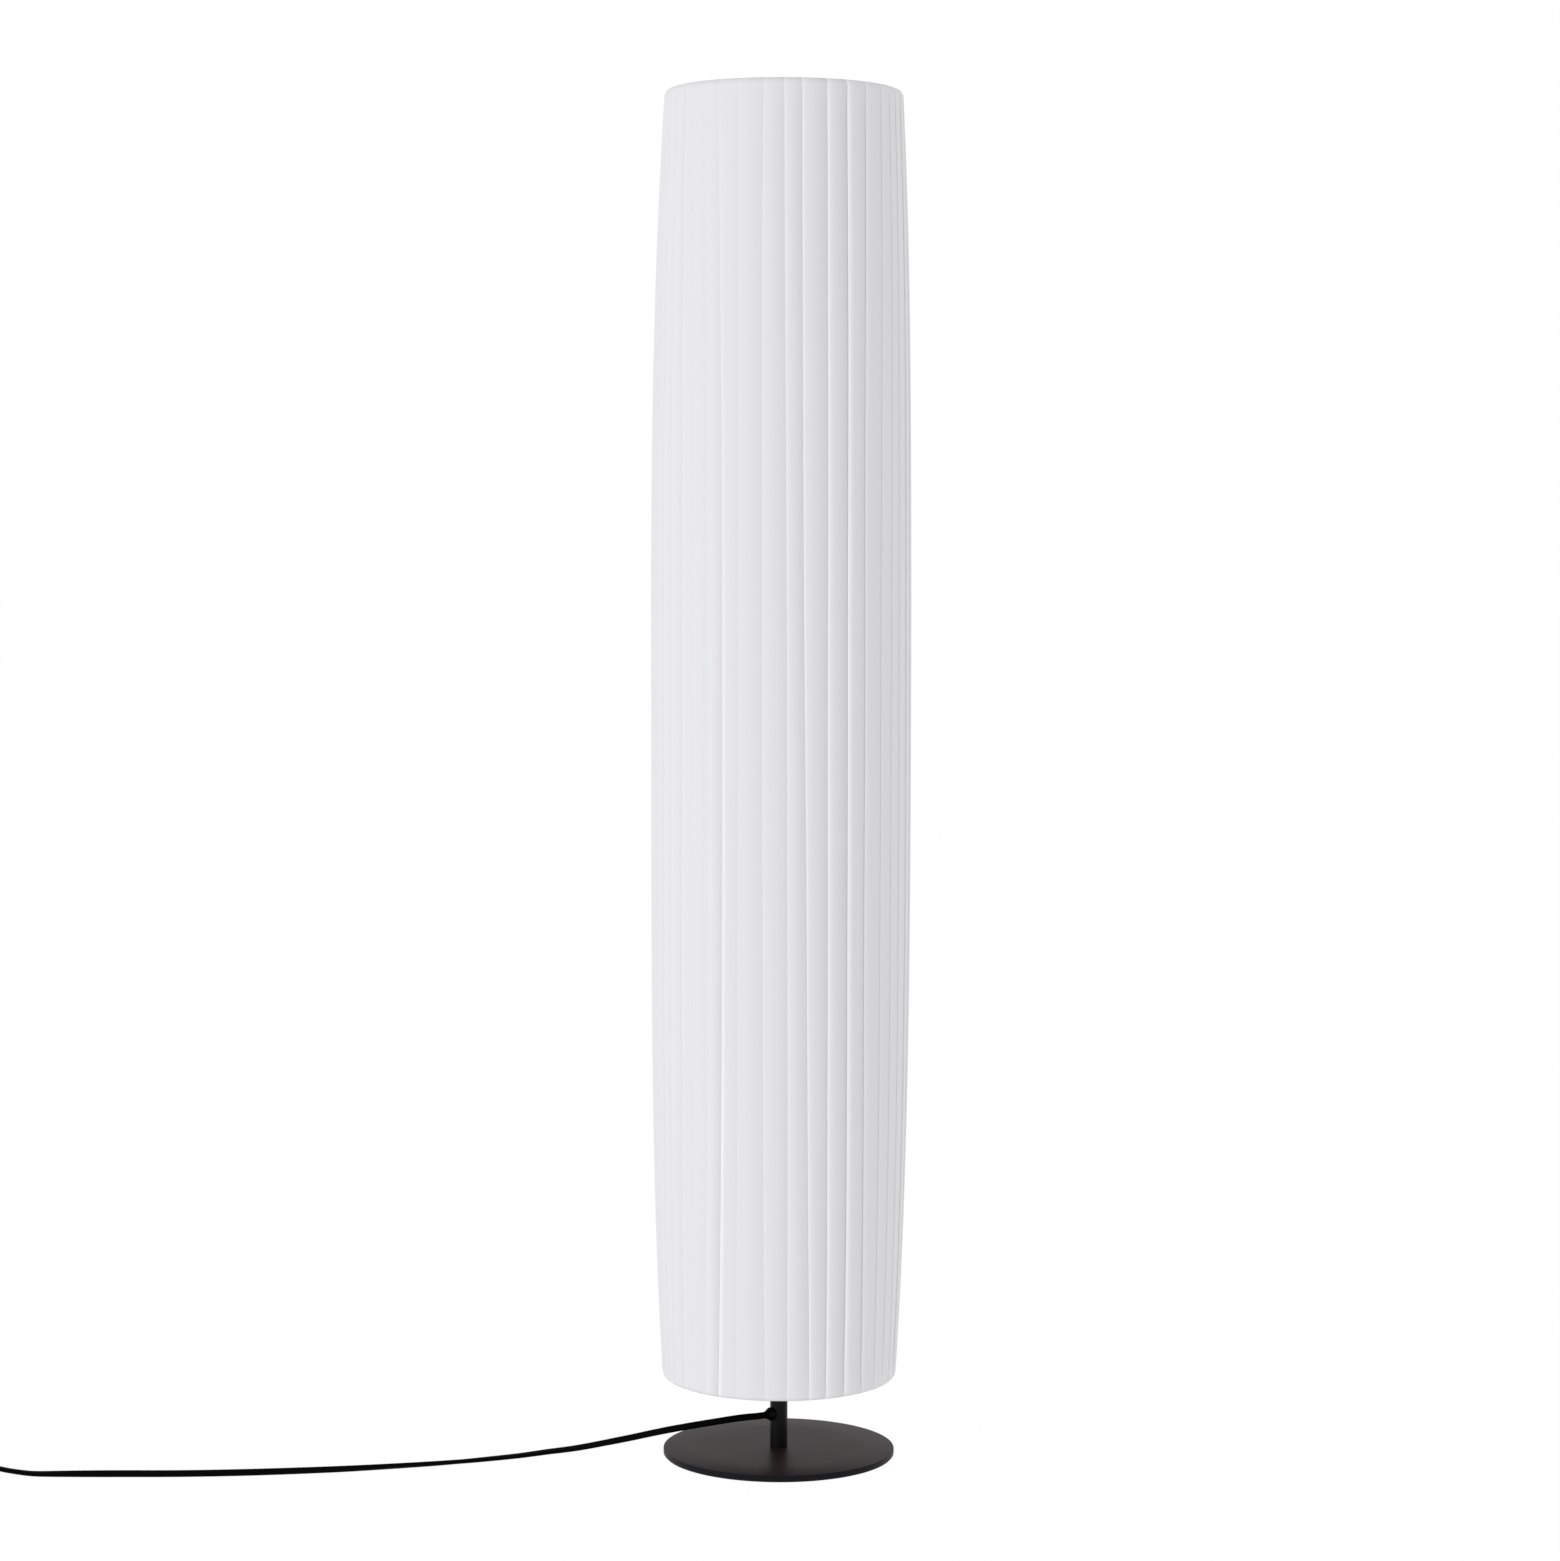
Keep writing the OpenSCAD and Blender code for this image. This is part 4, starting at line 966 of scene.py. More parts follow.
@dataclass
class Light:
    """One lampholder on its arm, with an LED bulb screwed into it."""

    name: str
    body: Body
    height: float
    azimuth: float
    reach: float = 42.0
    rise: float = 9.0
    stem_r: float = 4.5
    neck_r: float = 8.0
    holder_r: float = 20.0
    joint_z: float = 22.0
    web: tuple[float, float] = (24.0, 30.0)
    bore_r: float = 14.4
    mouth_r: float = 18.5
    mouth_z: float = 62.0
    shoulder_z: float = 59.0
    thread_z: float = 44.0
    thread_pitch: float = 2.4
    thread_turns: int = 5
    flutes: int = 24
    flute_low: float = 17.3
    flute_depth: float = 0.45
    bulb_neck: tuple[float, float] = (13.8, 57.9)
    bulb_straight: float = 7.0
    flare_steps: int = 19
    flare_power: float = 1.35
    globe_r: float = 30.0
    globe_z: float = 114.9
    globe_cut: float = 9.0
    globe_wall: float = 1.2
    globe_steps: int = 24

    def deliver(self, part: str, bm: Shape, finish: Finish, body: Body, slot: str) -> None:
        """Stands a shape on the arm's end and delivers it for the CAD node of the same name."""
        out = math.radians(self.azimuth)
        place(bm, moved(self.reach * math.cos(out), self.reach * math.sin(out), self.height + self.rise))
        name = f"{self.name}_{part}"
        deliver(f"{name}_shape", bm, finish, Seat(body, slot, (name,)), 38)

    def cap(self) -> Shape:
        """Turns the lampholder's domed cap, with ribs for the fingers round its rim."""
        n, r, top = self.neck_r, self.holder_r, self.joint_z
        ring = [
            (self.stem_r, 0.3), (self.stem_r + 0.3, 0), (n - 0.4, 0), (n, 0.4), (n, 5.2),
            (n + 0.4, 6.2), (n + 2.6, 7.4), (r - 6, 9.2), (r - 3.2, 11.6), (r - 1.2, 14.4),
            (r - 0.3, 16.4), (r, 17.2), (r, 17.6), (r, top - 0.9), (r - 0.25, top - 0.3),
            (r - 0.8, top), (r - 2, top), (r - 2, top - 4), (r - 5, top - 9), (self.stem_r, top - 14),
        ]
        span = (self.flute_low, top - 0.6)
        return fluted(lathe(ring, 192, True), span, r - 0.5, self.flutes, self.flute_depth)

    def barrel(self) -> Shape:
        """Turns the barrel, with its web inside and the thread for a ring near its mouth."""
        r, m, b, p = self.holder_r, self.mouth_r, self.bore_r, self.thread_pitch
        thread = []
        for k in range(self.thread_turns):
            z = self.thread_z + k * p
            thread += [(r, z), (r - 0.7, z + 0.35 * p), (r - 0.7, z + 0.55 * p), (r, z + 0.85 * p)]
        profile = [
            (0, self.web[1]), (b, self.web[1]), (b, self.mouth_z - 0.6), (b + 0.2, self.mouth_z - 0.2),
            (b + 0.7, self.mouth_z), (m - 0.7, self.mouth_z), (m - 0.2, self.mouth_z - 0.2),
            (m, self.mouth_z - 0.7), (m, self.shoulder_z + 0.4), (m + 0.2, self.shoulder_z),
            (r - 0.5, self.shoulder_z - 0.1), (r, self.shoulder_z - 0.7), *reversed(thread),
            (r, self.joint_z + 0.9), (r - 0.25, self.joint_z + 0.3), (r - 0.8, self.joint_z),
            (b, self.joint_z), (b, self.web[0]), (0, self.web[0]),
        ]
        return lathe(profile, 96)

    def housing(self) -> Shape:
        """Turns the bulb's flared housing, with the seam under the globe."""
        neck_r, low = self.bulb_neck
        rim_z = self.globe_z - self.globe_cut
        rim_r = math.sqrt(self.globe_r**2 - self.globe_cut**2)
        start = low + self.bulb_straight
        profile = [(0, low), (neck_r - 0.4, low), (neck_r, low + 0.4), (neck_r, start - 2)]
        profile.append((neck_r + 0.1, start))
        for k in range(1, self.flare_steps + 1):
            # The last point stays just inside the rim
            t = k / self.flare_steps * 0.985
            flare = math.sin(math.pi / 2 * t) ** self.flare_power
            profile.append((neck_r + (rim_r - neck_r) * flare, start + (rim_z - start) * t))
        profile += [(rim_r - 0.25, rim_z - 0.3), (rim_r - 0.9, rim_z - 0.1), (0, rim_z - 0.1)]
        return lathe(profile, 96)

    def globe(self) -> Shape:
        """Turns the hollow globe, open where it sits on the housing."""
        rim = math.degrees(math.asin(self.globe_cut / self.globe_r))
        outer, inner = [], []
        for k in range(self.globe_steps + 1):
            a = math.radians(-rim + 1 + (89 + rim) * k / self.globe_steps)
            for line, r in ((outer, self.globe_r), (inner, self.globe_r - self.globe_wall)):
                out = r * math.cos(a) if k < self.globe_steps else 0.0
                line.append((out, self.globe_z + r * math.sin(a)))
        seam = (outer[0][0] - 0.7, outer[0][1] - 0.35)
        return lathe([*reversed(inner), seam, *outer], 96)

    def build(self) -> None:
        """Builds the lampholder and the bulb, and dresses what is hidden in them."""
        self.deliver("holder_cap", self.cap(), HOLDER_PBT, Body.STAND, "holder_white")
        self.deliver("holder_barrel", self.barrel(), HOLDER_PBT, Body.STAND, "holder_white")
        self.deliver("bulb_housing", self.housing(), HOUSING_PC, self.body, "bulb_white")
        self.deliver("bulb_globe", self.globe(), GLOBE_PC, self.body, "bulb_opal")
        refinish(BRASS, f"{self.name}_holder_thread", f"{self.name}_holder_contact")
        refinish(CAP_ALUMINIUM, f"{self.name}_bulb_cap")
        refinish(CONTACT_GLASS, f"{self.name}_bulb_contact")


# Shade


@dataclass(frozen=True)
class Row:
    """One level of the cloth: where its outer side lies, which way is in, and how full the pleats stand."""

    r: float
    z: float
    inward: tuple[float, float]
    fullness: float
    run: float


@dataclass(frozen=True)
class Fold:
    """One fold: degrees about Z at three levels, how far it stands out, and how strongly painted light and
    shade show on it.

    Slack is how much the face after it sinks in. Each wave has a length and a start.
    """

    top: float
    middle: float
    bottom: float
    stand: float
    # How strongly painted light and shade show on the fold
    tone: float
    slack: float
    waves: Sequence[tuple[float, float]]


@dataclass
class ShadeCloth:
    """One long cloth, folded into knife pleats and rolled over the rings at both ends."""

    low: float = 70.7
    high: float = 1200.3
    end_r: float = 103.3
    mid_r: float = 114.0
    bulge: float = 3.1
    hem_r: float = 5.5
    hem_end_r: float = 97.4
    pleats: int = 40
    tuck: float = 3.2
    thick: float = 0.3
    turn: float = 0.65
    # The whole shade leans to one side round this height: how far, where and how high up and down
    sway: float = -1.0
    sway_z: float = 900.0
    sway_reach: float = 230.0
    waviness: float = 0.12
    drift_mid: float = 635.0
    drift_half: float = 515.0
    body_rows: int = 34
    crowding: float = 0.12
    hem_rows: int = 6
    seed: int = 11
    # What lies between these is drawn by chance: for the folds that face away their gaps, how far they stand
    # out and how strongly painted light and shade show on them, and for all of them their slack and the
    # length of their waves
    gap_range: tuple[float, float] = (0.88, 1.12)
    stand_range: tuple[float, float] = (0.6, 1.15)
    painted_contrast_range: tuple[float, float] = (0.1, 0.6)
    slack_range: tuple[float, float] = (0.3, 1.9)
    wave_range: tuple[float, float] = (350.0, 900.0)
    # Folds that face the front: degrees to the right of it at the top, middle and bottom, how far each stands
    # out, and how strongly painted light and shade show on it
    front_folds: tuple[tuple[float, float, float, float, float], ...] = (
        (-73, -70, -73, 0.6, 0.1), (-67, -63.2, -66, 0.8, 0.32), (-60, -57, -60, 0.65, 0.16),
        (-53, -49, -52, 0.8, 0.26), (-47, -42.2, -45, 0.4, 0.0), (-39.5, -35, -38.4, 0.45, 0.0),
        (-31.9, -26.9, -29.9, 1.2, 0.6), (-21.7, -19.3, -20.9, 0.62, 0.07), (-10, -8.7, -7.3, 1.0, 0.19),
        (-0.1, 2, 3.5, 1.05, 0.32), (8.1, 9.9, 13.9, 1.1, 0.44), (20.2, 20.2, 22.5, 1.2, 0.62),
        (30.6, 29.8, 32.6, 1.2, 0.75), (41, 38.8, 42.8, 0.95, 0.3), (51.6, 48.5, 52.2, 0.5, 0.14),
        (59.4, 56.3, 60, 0.45, 0.08), (65.9, 63.6, 68, 0.45, 0.12),
    )
    # The fold that flattens out towards the top, how fast, and the most it may grow towards the bottom
    fading: tuple[int, float, float] = (6, 0.85, 1.5)
    # A flat fold keeps this share of its depth, and this share of painted light
    flat_share: float = 0.4
    flat_painted_light: float = 0.4
    # The first points of a fold's section belong to its own edge, the others to the next one's
    edge_points: int = 6

    def folds(self) -> list[Fold]:
        """Returns the folds in their order about Z: those at the front as given, the others by chance."""
        chance = random.Random(self.seed)
        front = [(*(270 + a for a in fold[:3]), *fold[3:]) for fold in self.front_folds]
        gaps = [chance.uniform(*self.gap_range) for _ in range(self.pleats - len(front) + 1)]
        rest, share = [], 0.0
        for gap in gaps[:-1]:
            share += gap / sum(gaps)
            away = (last + share * (360 + first - last) for first, last in zip(front[0][:3], front[-1][:3]))
            rest.append((*away, chance.uniform(*self.stand_range), chance.uniform(*self.painted_contrast_range)))
        edges = front + rest
        slacks = [chance.uniform(*self.slack_range) for _ in edges]
        waves = [
            [(chance.uniform(*self.wave_range), chance.uniform(0, FULL_TURN)) for _ in range(2)]
            for _ in edges
        ]
        return [Fold(*edge, slack, pair) for edge, slack, pair in zip(edges, slacks, waves)]

    def level(self, z: float) -> float:
        """Returns a height as -1, 0 and 1 for the bottom, middle and top level of the folds' directions."""
        return (z - self.drift_mid) / self.drift_half

    def strength(self, fold: int, u: float) -> float:
        """Returns how strongly a fold shows at a level, from 1 at the middle one."""
        which, rate, most = self.fading
        return min(most, 1 - rate * u) if fold % self.pleats == which else 1.0

    def radius(self, z: float) -> float:
        """Returns the outer radius of the bulging sides at a height."""
        middle, half = (self.high + self.low) / 2, (self.high - self.low) / 2
        return self.mid_r - (self.mid_r - self.end_r) * min(1.0, abs(z - middle) / half) ** self.bulge

    def hem(self, top: bool) -> list[tuple[float, float, float, float, float]]:
        """Returns the roll over one ring, from the side to the hem's end. It presses the pleats flat.

        Args:
            top: whether it is the upper ring's.

        Returns:
            Radius, height, inward direction and fullness of each row.
        """
        sign, edge = (1, self.high) if top else (-1, self.low)
        turn_z = edge - sign * self.hem_r
        centre_r = self.radius(turn_z) - self.hem_r
        rows = []
        for k in range(1, self.hem_rows + 1):
            a = math.radians(90 * k / self.hem_rows)
            r, z = centre_r + self.hem_r * math.cos(a), turn_z + sign * self.hem_r * math.sin(a)
            rows.append((r, z, -math.cos(a), -sign * math.sin(a), 0.5 - 0.38 * math.sin(a)))
        rows.append((self.hem_end_r, edge - sign * 0.3, 0.0, -sign, 0.1))
        return rows

    def rows(self) -> list[Row]:
        """Returns every level of the cloth, from the lower hem's end to the upper one's."""
        low, high = self.low + self.hem_r, self.high - self.hem_r
        first = round(0.5 - 0.5 * math.cos(math.pi * self.crowding), 6)
        sides = []
        for k in range(self.body_rows + 1):
            # Rows crowd towards both ends, like the first part of a cosine wave
            phase = self.crowding + (1 - 2 * self.crowding) * k / self.body_rows
            z = low + (high - low) * (0.5 - 0.5 * math.cos(math.pi * phase) - first) / (1 - 2 * first)
            near = min(z - low, high - z)
            sides.append((self.radius(z), z, -1.0, 0.0, 0.5 + 0.5 * min(1.0, near / 20.0)))
        raw = [*reversed(self.hem(False)), *sides, *self.hem(True)]
        rows, run = [], 0.0
        for i, (r, z, nr, nz, full) in enumerate(raw):
            if i:
                run += math.dist(raw[i - 1][:2], (r, z))
            rows.append(Row(r, z, (nr, nz), full, run))
        return rows

    def section(self, w: float, slack: float) -> list[tuple[float, float, float]]:
        """Returns one pleat's section, from its outer edge over its face to the tuck under the next one.

        Args:
            w: the pleat's width along the arc.
            slack: how much its face sinks in.

        Returns:
            Points as distance along the arc, depth below the outer side and the share of painted light, which
            is high on the folded edge and falls to painted shade along the face before the next edge.
        """
        end = w + self.tuck
        # The third number of each point is painted light: high on the edge, painted shade near the next edge
        return [
            (-0.25, 1.86, 0.9), (-0.5, 1.4, 1.0), (-0.4, 0.76, 1.0), (0.0, 0.24, 1.0), (0.7, 0.02, 1.0),
            (1.8, 0.0, 0.85), (0.25 * w, 0.14 * slack, 0.58), (0.45 * w, 0.42 * slack, 0.42),
            (0.65 * w, 0.7 + 0.26 * slack, 0.25), (0.82 * w, 1.62, 0.1), (w - 1.0, 2.04, 0.0),
            (w + 0.6, 2.12, 0.0), (w + 0.6 * self.tuck, 2.2, 0.0), (end, 2.16, 0.5),
            (end + 0.15, 2.04, 0.5), (end - 0.1, 1.92, 0.5), (w + 0.5 * self.tuck, 1.86, 0.5),
            (w + 0.3, 1.78, 0.5),
        ]

    def edges(self, row: Row, folds: Sequence[Fold], start: float) -> list[float]:
        """Returns the degrees about Z of every fold's edge at a level.

        Args:
            row: the level.
            folds: every fold, in order.
            start: degrees to add to all of them.

        Returns:
            One direction for each fold, and the first one's again after a full turn.
        """
        u = self.level(row.z)
        found = []
        for fold in folds:
            wave = sum(math.sin(FULL_TURN * row.z / length + phase) for length, phase in fold.waves)
            found.append(
                start + fold.middle + (fold.top - fold.bottom) / 2 * u
                + ((fold.top + fold.bottom) / 2 - fold.middle) * abs(u) ** 3 + self.waviness * wave / 2
            )
        return [*found, found[0] + 360]

    def lay(self, bm: Shape, layers: bmesh.types.BMLayerItem, row: Row, folds: Sequence[Fold]) -> list:
        """Lays one level of the folded cloth.

        Args:
            bm: the cloth.
            layers: the layer that holds each point's share of painted light.
            row: the level.
            folds: every fold, in order.

        Returns:
            The level's vertices, once round.
        """
        shift = self.sway * math.exp(-(((row.z - self.sway_z) / self.sway_reach) ** 2))
        edges = self.edges(row, folds, self.turn - math.degrees(shift / row.r))
        line = []
        for i, fold in enumerate(folds):
            w = row.r * math.radians(edges[i + 1] - edges[i])
            for k, (x, deep, painted_light) in enumerate(self.section(w, fold.slack)):
                n = i if k < self.edge_points else i + 1
                nearest, strength = folds[n % self.pleats], self.strength(n, self.level(row.z))
                share = self.flat_share + (1 - self.flat_share) * min(1.0, strength)
                deep *= row.fullness * nearest.stand * share
                a = math.radians(edges[i]) + x / row.r
                r, z = row.r + row.inward[0] * deep, row.z + row.inward[1] * deep
                vert = bm.verts.new((r * math.cos(a) + shift, r * math.sin(a), z))
                # Painted light and shade, strongest on folds that stand out most
                vert[layers] = self.flat_painted_light + (painted_light - self.flat_painted_light) * nearest.tone * strength
                line.append(vert)
        return line

    def span(self, bm: Shape, grid: Sequence[list], rows: Sequence[Row]) -> float:
        """Spans faces between the levels, with a UV map in metres of flat cloth.

        Args:
            bm: the cloth.
            grid: the vertices of each level.
            rows: the levels.

        Returns:
            How wide the cloth is when flat, in millimetres.
        """
        middle = grid[len(grid) // 2]
        count = len(middle)
        across = [0.0]
        for a, b in zip(middle, middle[1:] + middle[:1]):
            across.append(across[-1] + (b.co - a.co).length)
        uv = bm.loops.layers.uv.new("cloth")
        for j, (low, high) in enumerate(zip(grid, grid[1:])):
            for i in range(count):
                n = (i + 1) % count
                face = bm.faces.new((low[i], low[n], high[n], high[i]))
                for loop, (u, v) in zip(face.loops, ((i, j), (i + 1, j), (i + 1, j + 1), (i, j + 1))):
                    loop[uv].uv = (across[u] * MM, rows[v].run * MM)
        return across[-1]

    def build(self) -> Piece:
        folds, rows = self.folds(), self.rows()
        bm = bmesh.new()
        layers = bm.verts.layers.float.new(PLEAT_CLOTH.layers)
        grid = [self.lay(bm, layers, row, folds) for row in rows]
        flat = (self.span(bm, grid, rows) * MM, rows[-1].run * MM)
        seat = Seat(Body.SHADE, "white_cloth", ("shade_cloth",))
        cloth = deliver("pleated_cloth", bm, PLEAT_CLOTH, seat, 180, self.thick)
        LOG.info("cloth: cut %.3f m wide and %.3f m high", *flat)
        return cloth


@dataclass
class EdgeTape:
    """The tape inside one ring, turned out over the end of the cloth."""

    name: str
    node: str
    ring: str
    edge: float
    sign: int
    inner: float = 96.9
    lip_r: float = 97.9
    lip: float = 2.1
    height: float = 9.6
    thick: float = 0.4
    arms: tuple[float, ...] = ()
    notch: float = 2.3
    whole_above: float = 0.5

    def notched(self, face: bmesh.types.BMFace) -> bool:
        """Tells whether a face lies where one of the spider's arms passes under the lip."""
        middle = face.calc_center_median()
        turned_back = [turned("Z", -arm) @ middle for arm in self.arms]
        below = self.sign * (self.edge - middle.z) > self.whole_above
        return below and any(at.x > 0 and abs(at.y) < self.notch for at in turned_back)

    def build(self) -> Piece:
        """Lays the tape round the ring, notched where the spider's arms pass."""
        s, e = self.sign, self.edge
        profile = [
            (self.lip_r, e + s * 0.18), (self.lip_r - 0.4, e + s * 0.26),
            (self.inner + 0.3, e + s * 0.14), (self.inner, e - s * 0.3), (self.inner, e - s * 0.8),
            (self.inner, e - s * 3), (self.inner, e - s * self.height),
        ]
        bm = lathe(profile, 360)
        bmesh.ops.delete(bm, geom=[face for face in bm.faces if self.notched(face)], context="FACES")
        uv = bm.loops.layers.uv.new("tape")
        for face in bm.faces:
            for loop in face.loops:
                x, y, z = loop.vert.co
                a = math.atan2(y, x)
                if a < -3 and face.calc_center_median().y > 0:
                    a += FULL_TURN
                loop[uv].uv = (a * self.inner * MM, z * MM)
        seat = Seat(Body.SHADE, "white_tape", (self.node,))
        tape = deliver(self.name, bm, TAPE_TWILL, seat, 60, self.thick)
        return tape


@dataclass
class Shade:
    """Cloth, tapes and wire frame."""

    ring_r: float = 98.874
    ring_low: float = 73.2
    ring_high: float = 1197.8
    wire_r: float = 1.5
    hoops: tuple[tuple[float, float], ...] = ((353.25, 108.287), (635.5, 109.53), (917.75, 108.287))
    arms: tuple[float, ...] = (90.0, 210.0, 330.0)
    arm_r: float = 1.75
    arm_ends: tuple[tuple[float, float], ...] = ((9.0, 1181.1), (97.174, 1197.2))
    hub_r: float = 12.0
    hub_z: tuple[float, float] = (1179.0, 1183.2)
    bore_r: float = 4.3
    nut_r: float = 8.0
    nut_z: float = 1184.9
    nut_h: float = 13.4
    nut_wall: float = 4.0
    nut_flute_depth: float = 0.75
    nut_flutes: int = 12

    def deliver_wire(self, name: str, bm: Shape, node: str, sharp: float = 35.0) -> None:
        """Delivers a piece of coated wire for one CAD node."""
        deliver(name, bm, WIRE_COAT, Seat(Body.SHADE, "white_wire", (node,)), sharp)

    def spider(self) -> None:
        """Presses the hub and welds its three wires on."""
        low, high = self.hub_z
        r, b = self.hub_r, self.bore_r
        ring = [
            (b, low + 0.4), (b + 0.4, low), (r - 1.2, low), (r - 0.3, low + 0.4), (r, low + 1.2),
            (r, high - 1.2), (r - 0.3, high - 0.4), (r - 1.2, high), (b + 0.4, high), (b, high - 0.4),
        ]
        (near_r, near_z), (far_r, far_z) = self.arm_ends
        lean = math.atan2(far_r - near_r, far_z - near_z)
        wires = [
            place(
                rod(self.arm_r, 0, math.hypot(far_r - near_r, far_z - near_z)),
                turned("Z", arm), moved(near_r, 0, near_z), Matrix.Rotation(lean, 4, "Y"),
            )
            for arm in self.arms
        ]
        self.deliver_wire("spider", joined(lathe(ring, 72, True), *wires), "shade_spider", 40)

    def finial(self) -> Piece:
        """Turns the fluted nut with its domed top and blind bore."""
        r, b, h = self.nut_r, self.bore_r, self.nut_h
        profile = [
            (0, h - self.nut_wall), (b, h - self.nut_wall), (b, 0.4), (b + 0.4, 0), (r - 0.8, 0),
            (r - 0.2, 0.3), (r, 0.8), (r, 1.4), (r, 2.1), (r, h - 4.4), (r, h - 3.7), (r, h - 3.0),
            (r - 0.3, h - 2.2), (r - 1.1, h - 1.3), (r - 2.3, h - 0.6), (r - 4, h - 0.15), (r - 6, h),
            (0, h),
        ]
        bm = fluted(lathe(profile, 144), (2.0, h - 4.3), b + 1, self.nut_flutes, self.nut_flute_depth)
        place(bm, moved(0, 0, self.nut_z))
        return deliver("finial", bm, NICKEL, Seat(Body.FINIAL, "nickel", ("finial_nut",)), 40)

    def build(self) -> None:
        """Builds the shade's pieces and dresses the ones kept from the frame."""
        upper, lower = (wire_ring(self.ring_r, z, self.wire_r) for z in (self.ring_high, self.ring_low))
        self.deliver_wire("upper_ring", upper, "shade_top_ring")
        self.deliver_wire("lower_ring", lower, "shade_bottom_ring")
        hoops = joined(*(wire_ring(r, z, self.wire_r) for z, r in self.hoops))
        self.deliver_wire("inner_hoops", hoops, "shade_hoops")
        self.spider()
        self.finial()
        refinish(WIRE_COAT, "shade_ribs")
        refinish(ZINC, "spider_washer")
        cloth = ShadeCloth()
        cloth.build()
        EdgeTape("upper_tape", "shade_top_binding", "shade_top_ring", cloth.high, 1, arms=self.arms).build()
        EdgeTape("lower_tape", "shade_bottom_binding", "shade_bottom_ring", cloth.low, -1).build()


# Foot switch and plug


@dataclass
class FootSwitch:
    """Two shells screwed together round the lead, with a round push button on top."""

    at: tuple[float, float, float] = (-733.0, -92.0, 0.0)
    length: float = 86.0
    width: float = 32.0
    end_r: float = 6.0
    waist: float = 13.0
    split: float = 9.0
    parting: float = 0.15
    ceiling: float = 19.0
    high: float = 22.0
    wall: float = 2.0
    crown: float = 3.0
    button_r: float = 11.0
    play: float = 0.3
    screws: tuple[float, float] = (21.0, 9.0)
    screw_r: float = 1.6
    boss_r: float = 3.0
    foot_edge: float = 1.2
    parting_edge: float = 0.35

    def slab(self, low: float, high: float, inset: float = 0.0) -> Shape:
        """Returns the switch's long outline as a slab, drawn in all round by inset."""
        waist, ends = (
            drums(r - inset, high - low, 72, *mirrored(x, 0, (low + high) / 2))
            for x, r in ((self.waist, self.width / 2), (self.length / 2 - self.end_r, self.end_r))
        )
        return hulled(joined(waist, ends))

    def posts(self, radius: float, low: float, high: float) -> list[Shape]:
        """Returns a cylinder at each of the two screws."""
        return [drums(radius, high - low, 32, at) for at in mirrored(*self.screws, (low + high) / 2)]

    def lead_way(self) -> Shape:
        """Returns the flat way of the lead, right through the switch."""
        return lead_way(2 * self.length, moved(0, 0, self.split) @ turned("Y", 90))

    def deliver(self, name: str, bm: Shape, finish: Finish, node: str, body: Body = Body.STAND) -> Piece:
        """Moves a shape to the switch's place and delivers it for one CAD node."""
        return deliver(name, place(bm, moved(*self.at)), finish, Seat(body, "switch_black", (node,)))

    def rounded(self, bm: Shape, level: float, radius: float, segments: int) -> Shape:
        """Rounds the edges that lie all round at a level."""
        rim = [e for e in bm.edges if all(abs(v.co.z - level) < 1e-3 for v in e.verts)]
        return softened(bm, rim, radius, segments)

    def lower(self) -> Piece:
        """Moulds the lower shell, with bosses and countersunk holes for the screws."""
        top = self.split - self.parting
        body = self.rounded(self.rounded(self.slab(0, top), 0, self.foot_edge, 3), top, self.parting_edge, 1)
        cavity = carved(self.slab(self.wall, top + 1, self.wall), *self.posts(self.boss_r, 0, top + 2))
        holes, sinks = self.posts(self.screw_r, -1, top + 1), self.posts(2 * self.screw_r, -1, 1)
        bm = carved(body, cavity, self.lead_way(), *holes, *sinks)
        return self.deliver("switch_underside", bm, SWITCH_ABS, "switch_lower_shell")

    def upper(self) -> Piece:
        """Moulds the upper shell: a crowned top with a raised ring round the button."""
        low, hole_r = self.split + self.parting, self.button_r + self.play
        blank = self.rounded(self.slab(low, self.high), self.high, self.crown, 7)
        body = self.rounded(blank, low, self.parting_edge, 1)
        cavity = carved(self.slab(low - 1, self.ceiling, self.wall), *self.posts(self.boss_r, 0, self.high))
        hole = drums(hole_r, 2 * self.high, 96, moved(0, 0, self.high + self.split))
        shell = carved(body, cavity, self.lead_way(), hole, *self.posts(self.screw_r, 0, self.ceiling - 1))
        top = self.high
        ring = [
            (hole_r, top - 1.5), (hole_r, top + 0.3), (hole_r + 0.15, top + 0.5),
            (hole_r + 0.6, top + 0.6), (hole_r + 1.3, top + 0.45), (hole_r + 1.8, top + 0.1),
            (hole_r + 2, top - 0.3), (hole_r + 2, top - 1.5),
        ]
        bm = joined(shell, lathe(ring, 96, True))
        return self.deliver("switch_top", bm, SWITCH_ABS, "switch_upper_shell")

    def button(self) -> Piece:
        """Turns the button: a flange under the shell, and a dished top with a rolled rim."""
        r, flange, top, under = self.button_r, self.ceiling - 2, self.high + 4, self.ceiling - self.play
        profile = [
            (0, flange), (r + 0.8, flange), (r + 1, flange + 0.2), (r + 1, flange + 1.5),
            (r + 0.8, under), (r, under), (r, top - 1.4), (r - 0.15, top - 0.8), (r - 0.6, top - 0.25),
            (r - 1.3, top), (r - 1.8, top - 0.05), (r - 2.1, top - 0.4), (r - 2.5, top - 0.55),
            (r - 5, top - 0.85), (r - 8, top - 1.05), (0, top - 1.1),
        ]
        return self.deliver("push_button", lathe(profile, 96), BUTTON_ABS, "switch_button", Body.FOOT_BUTTON)

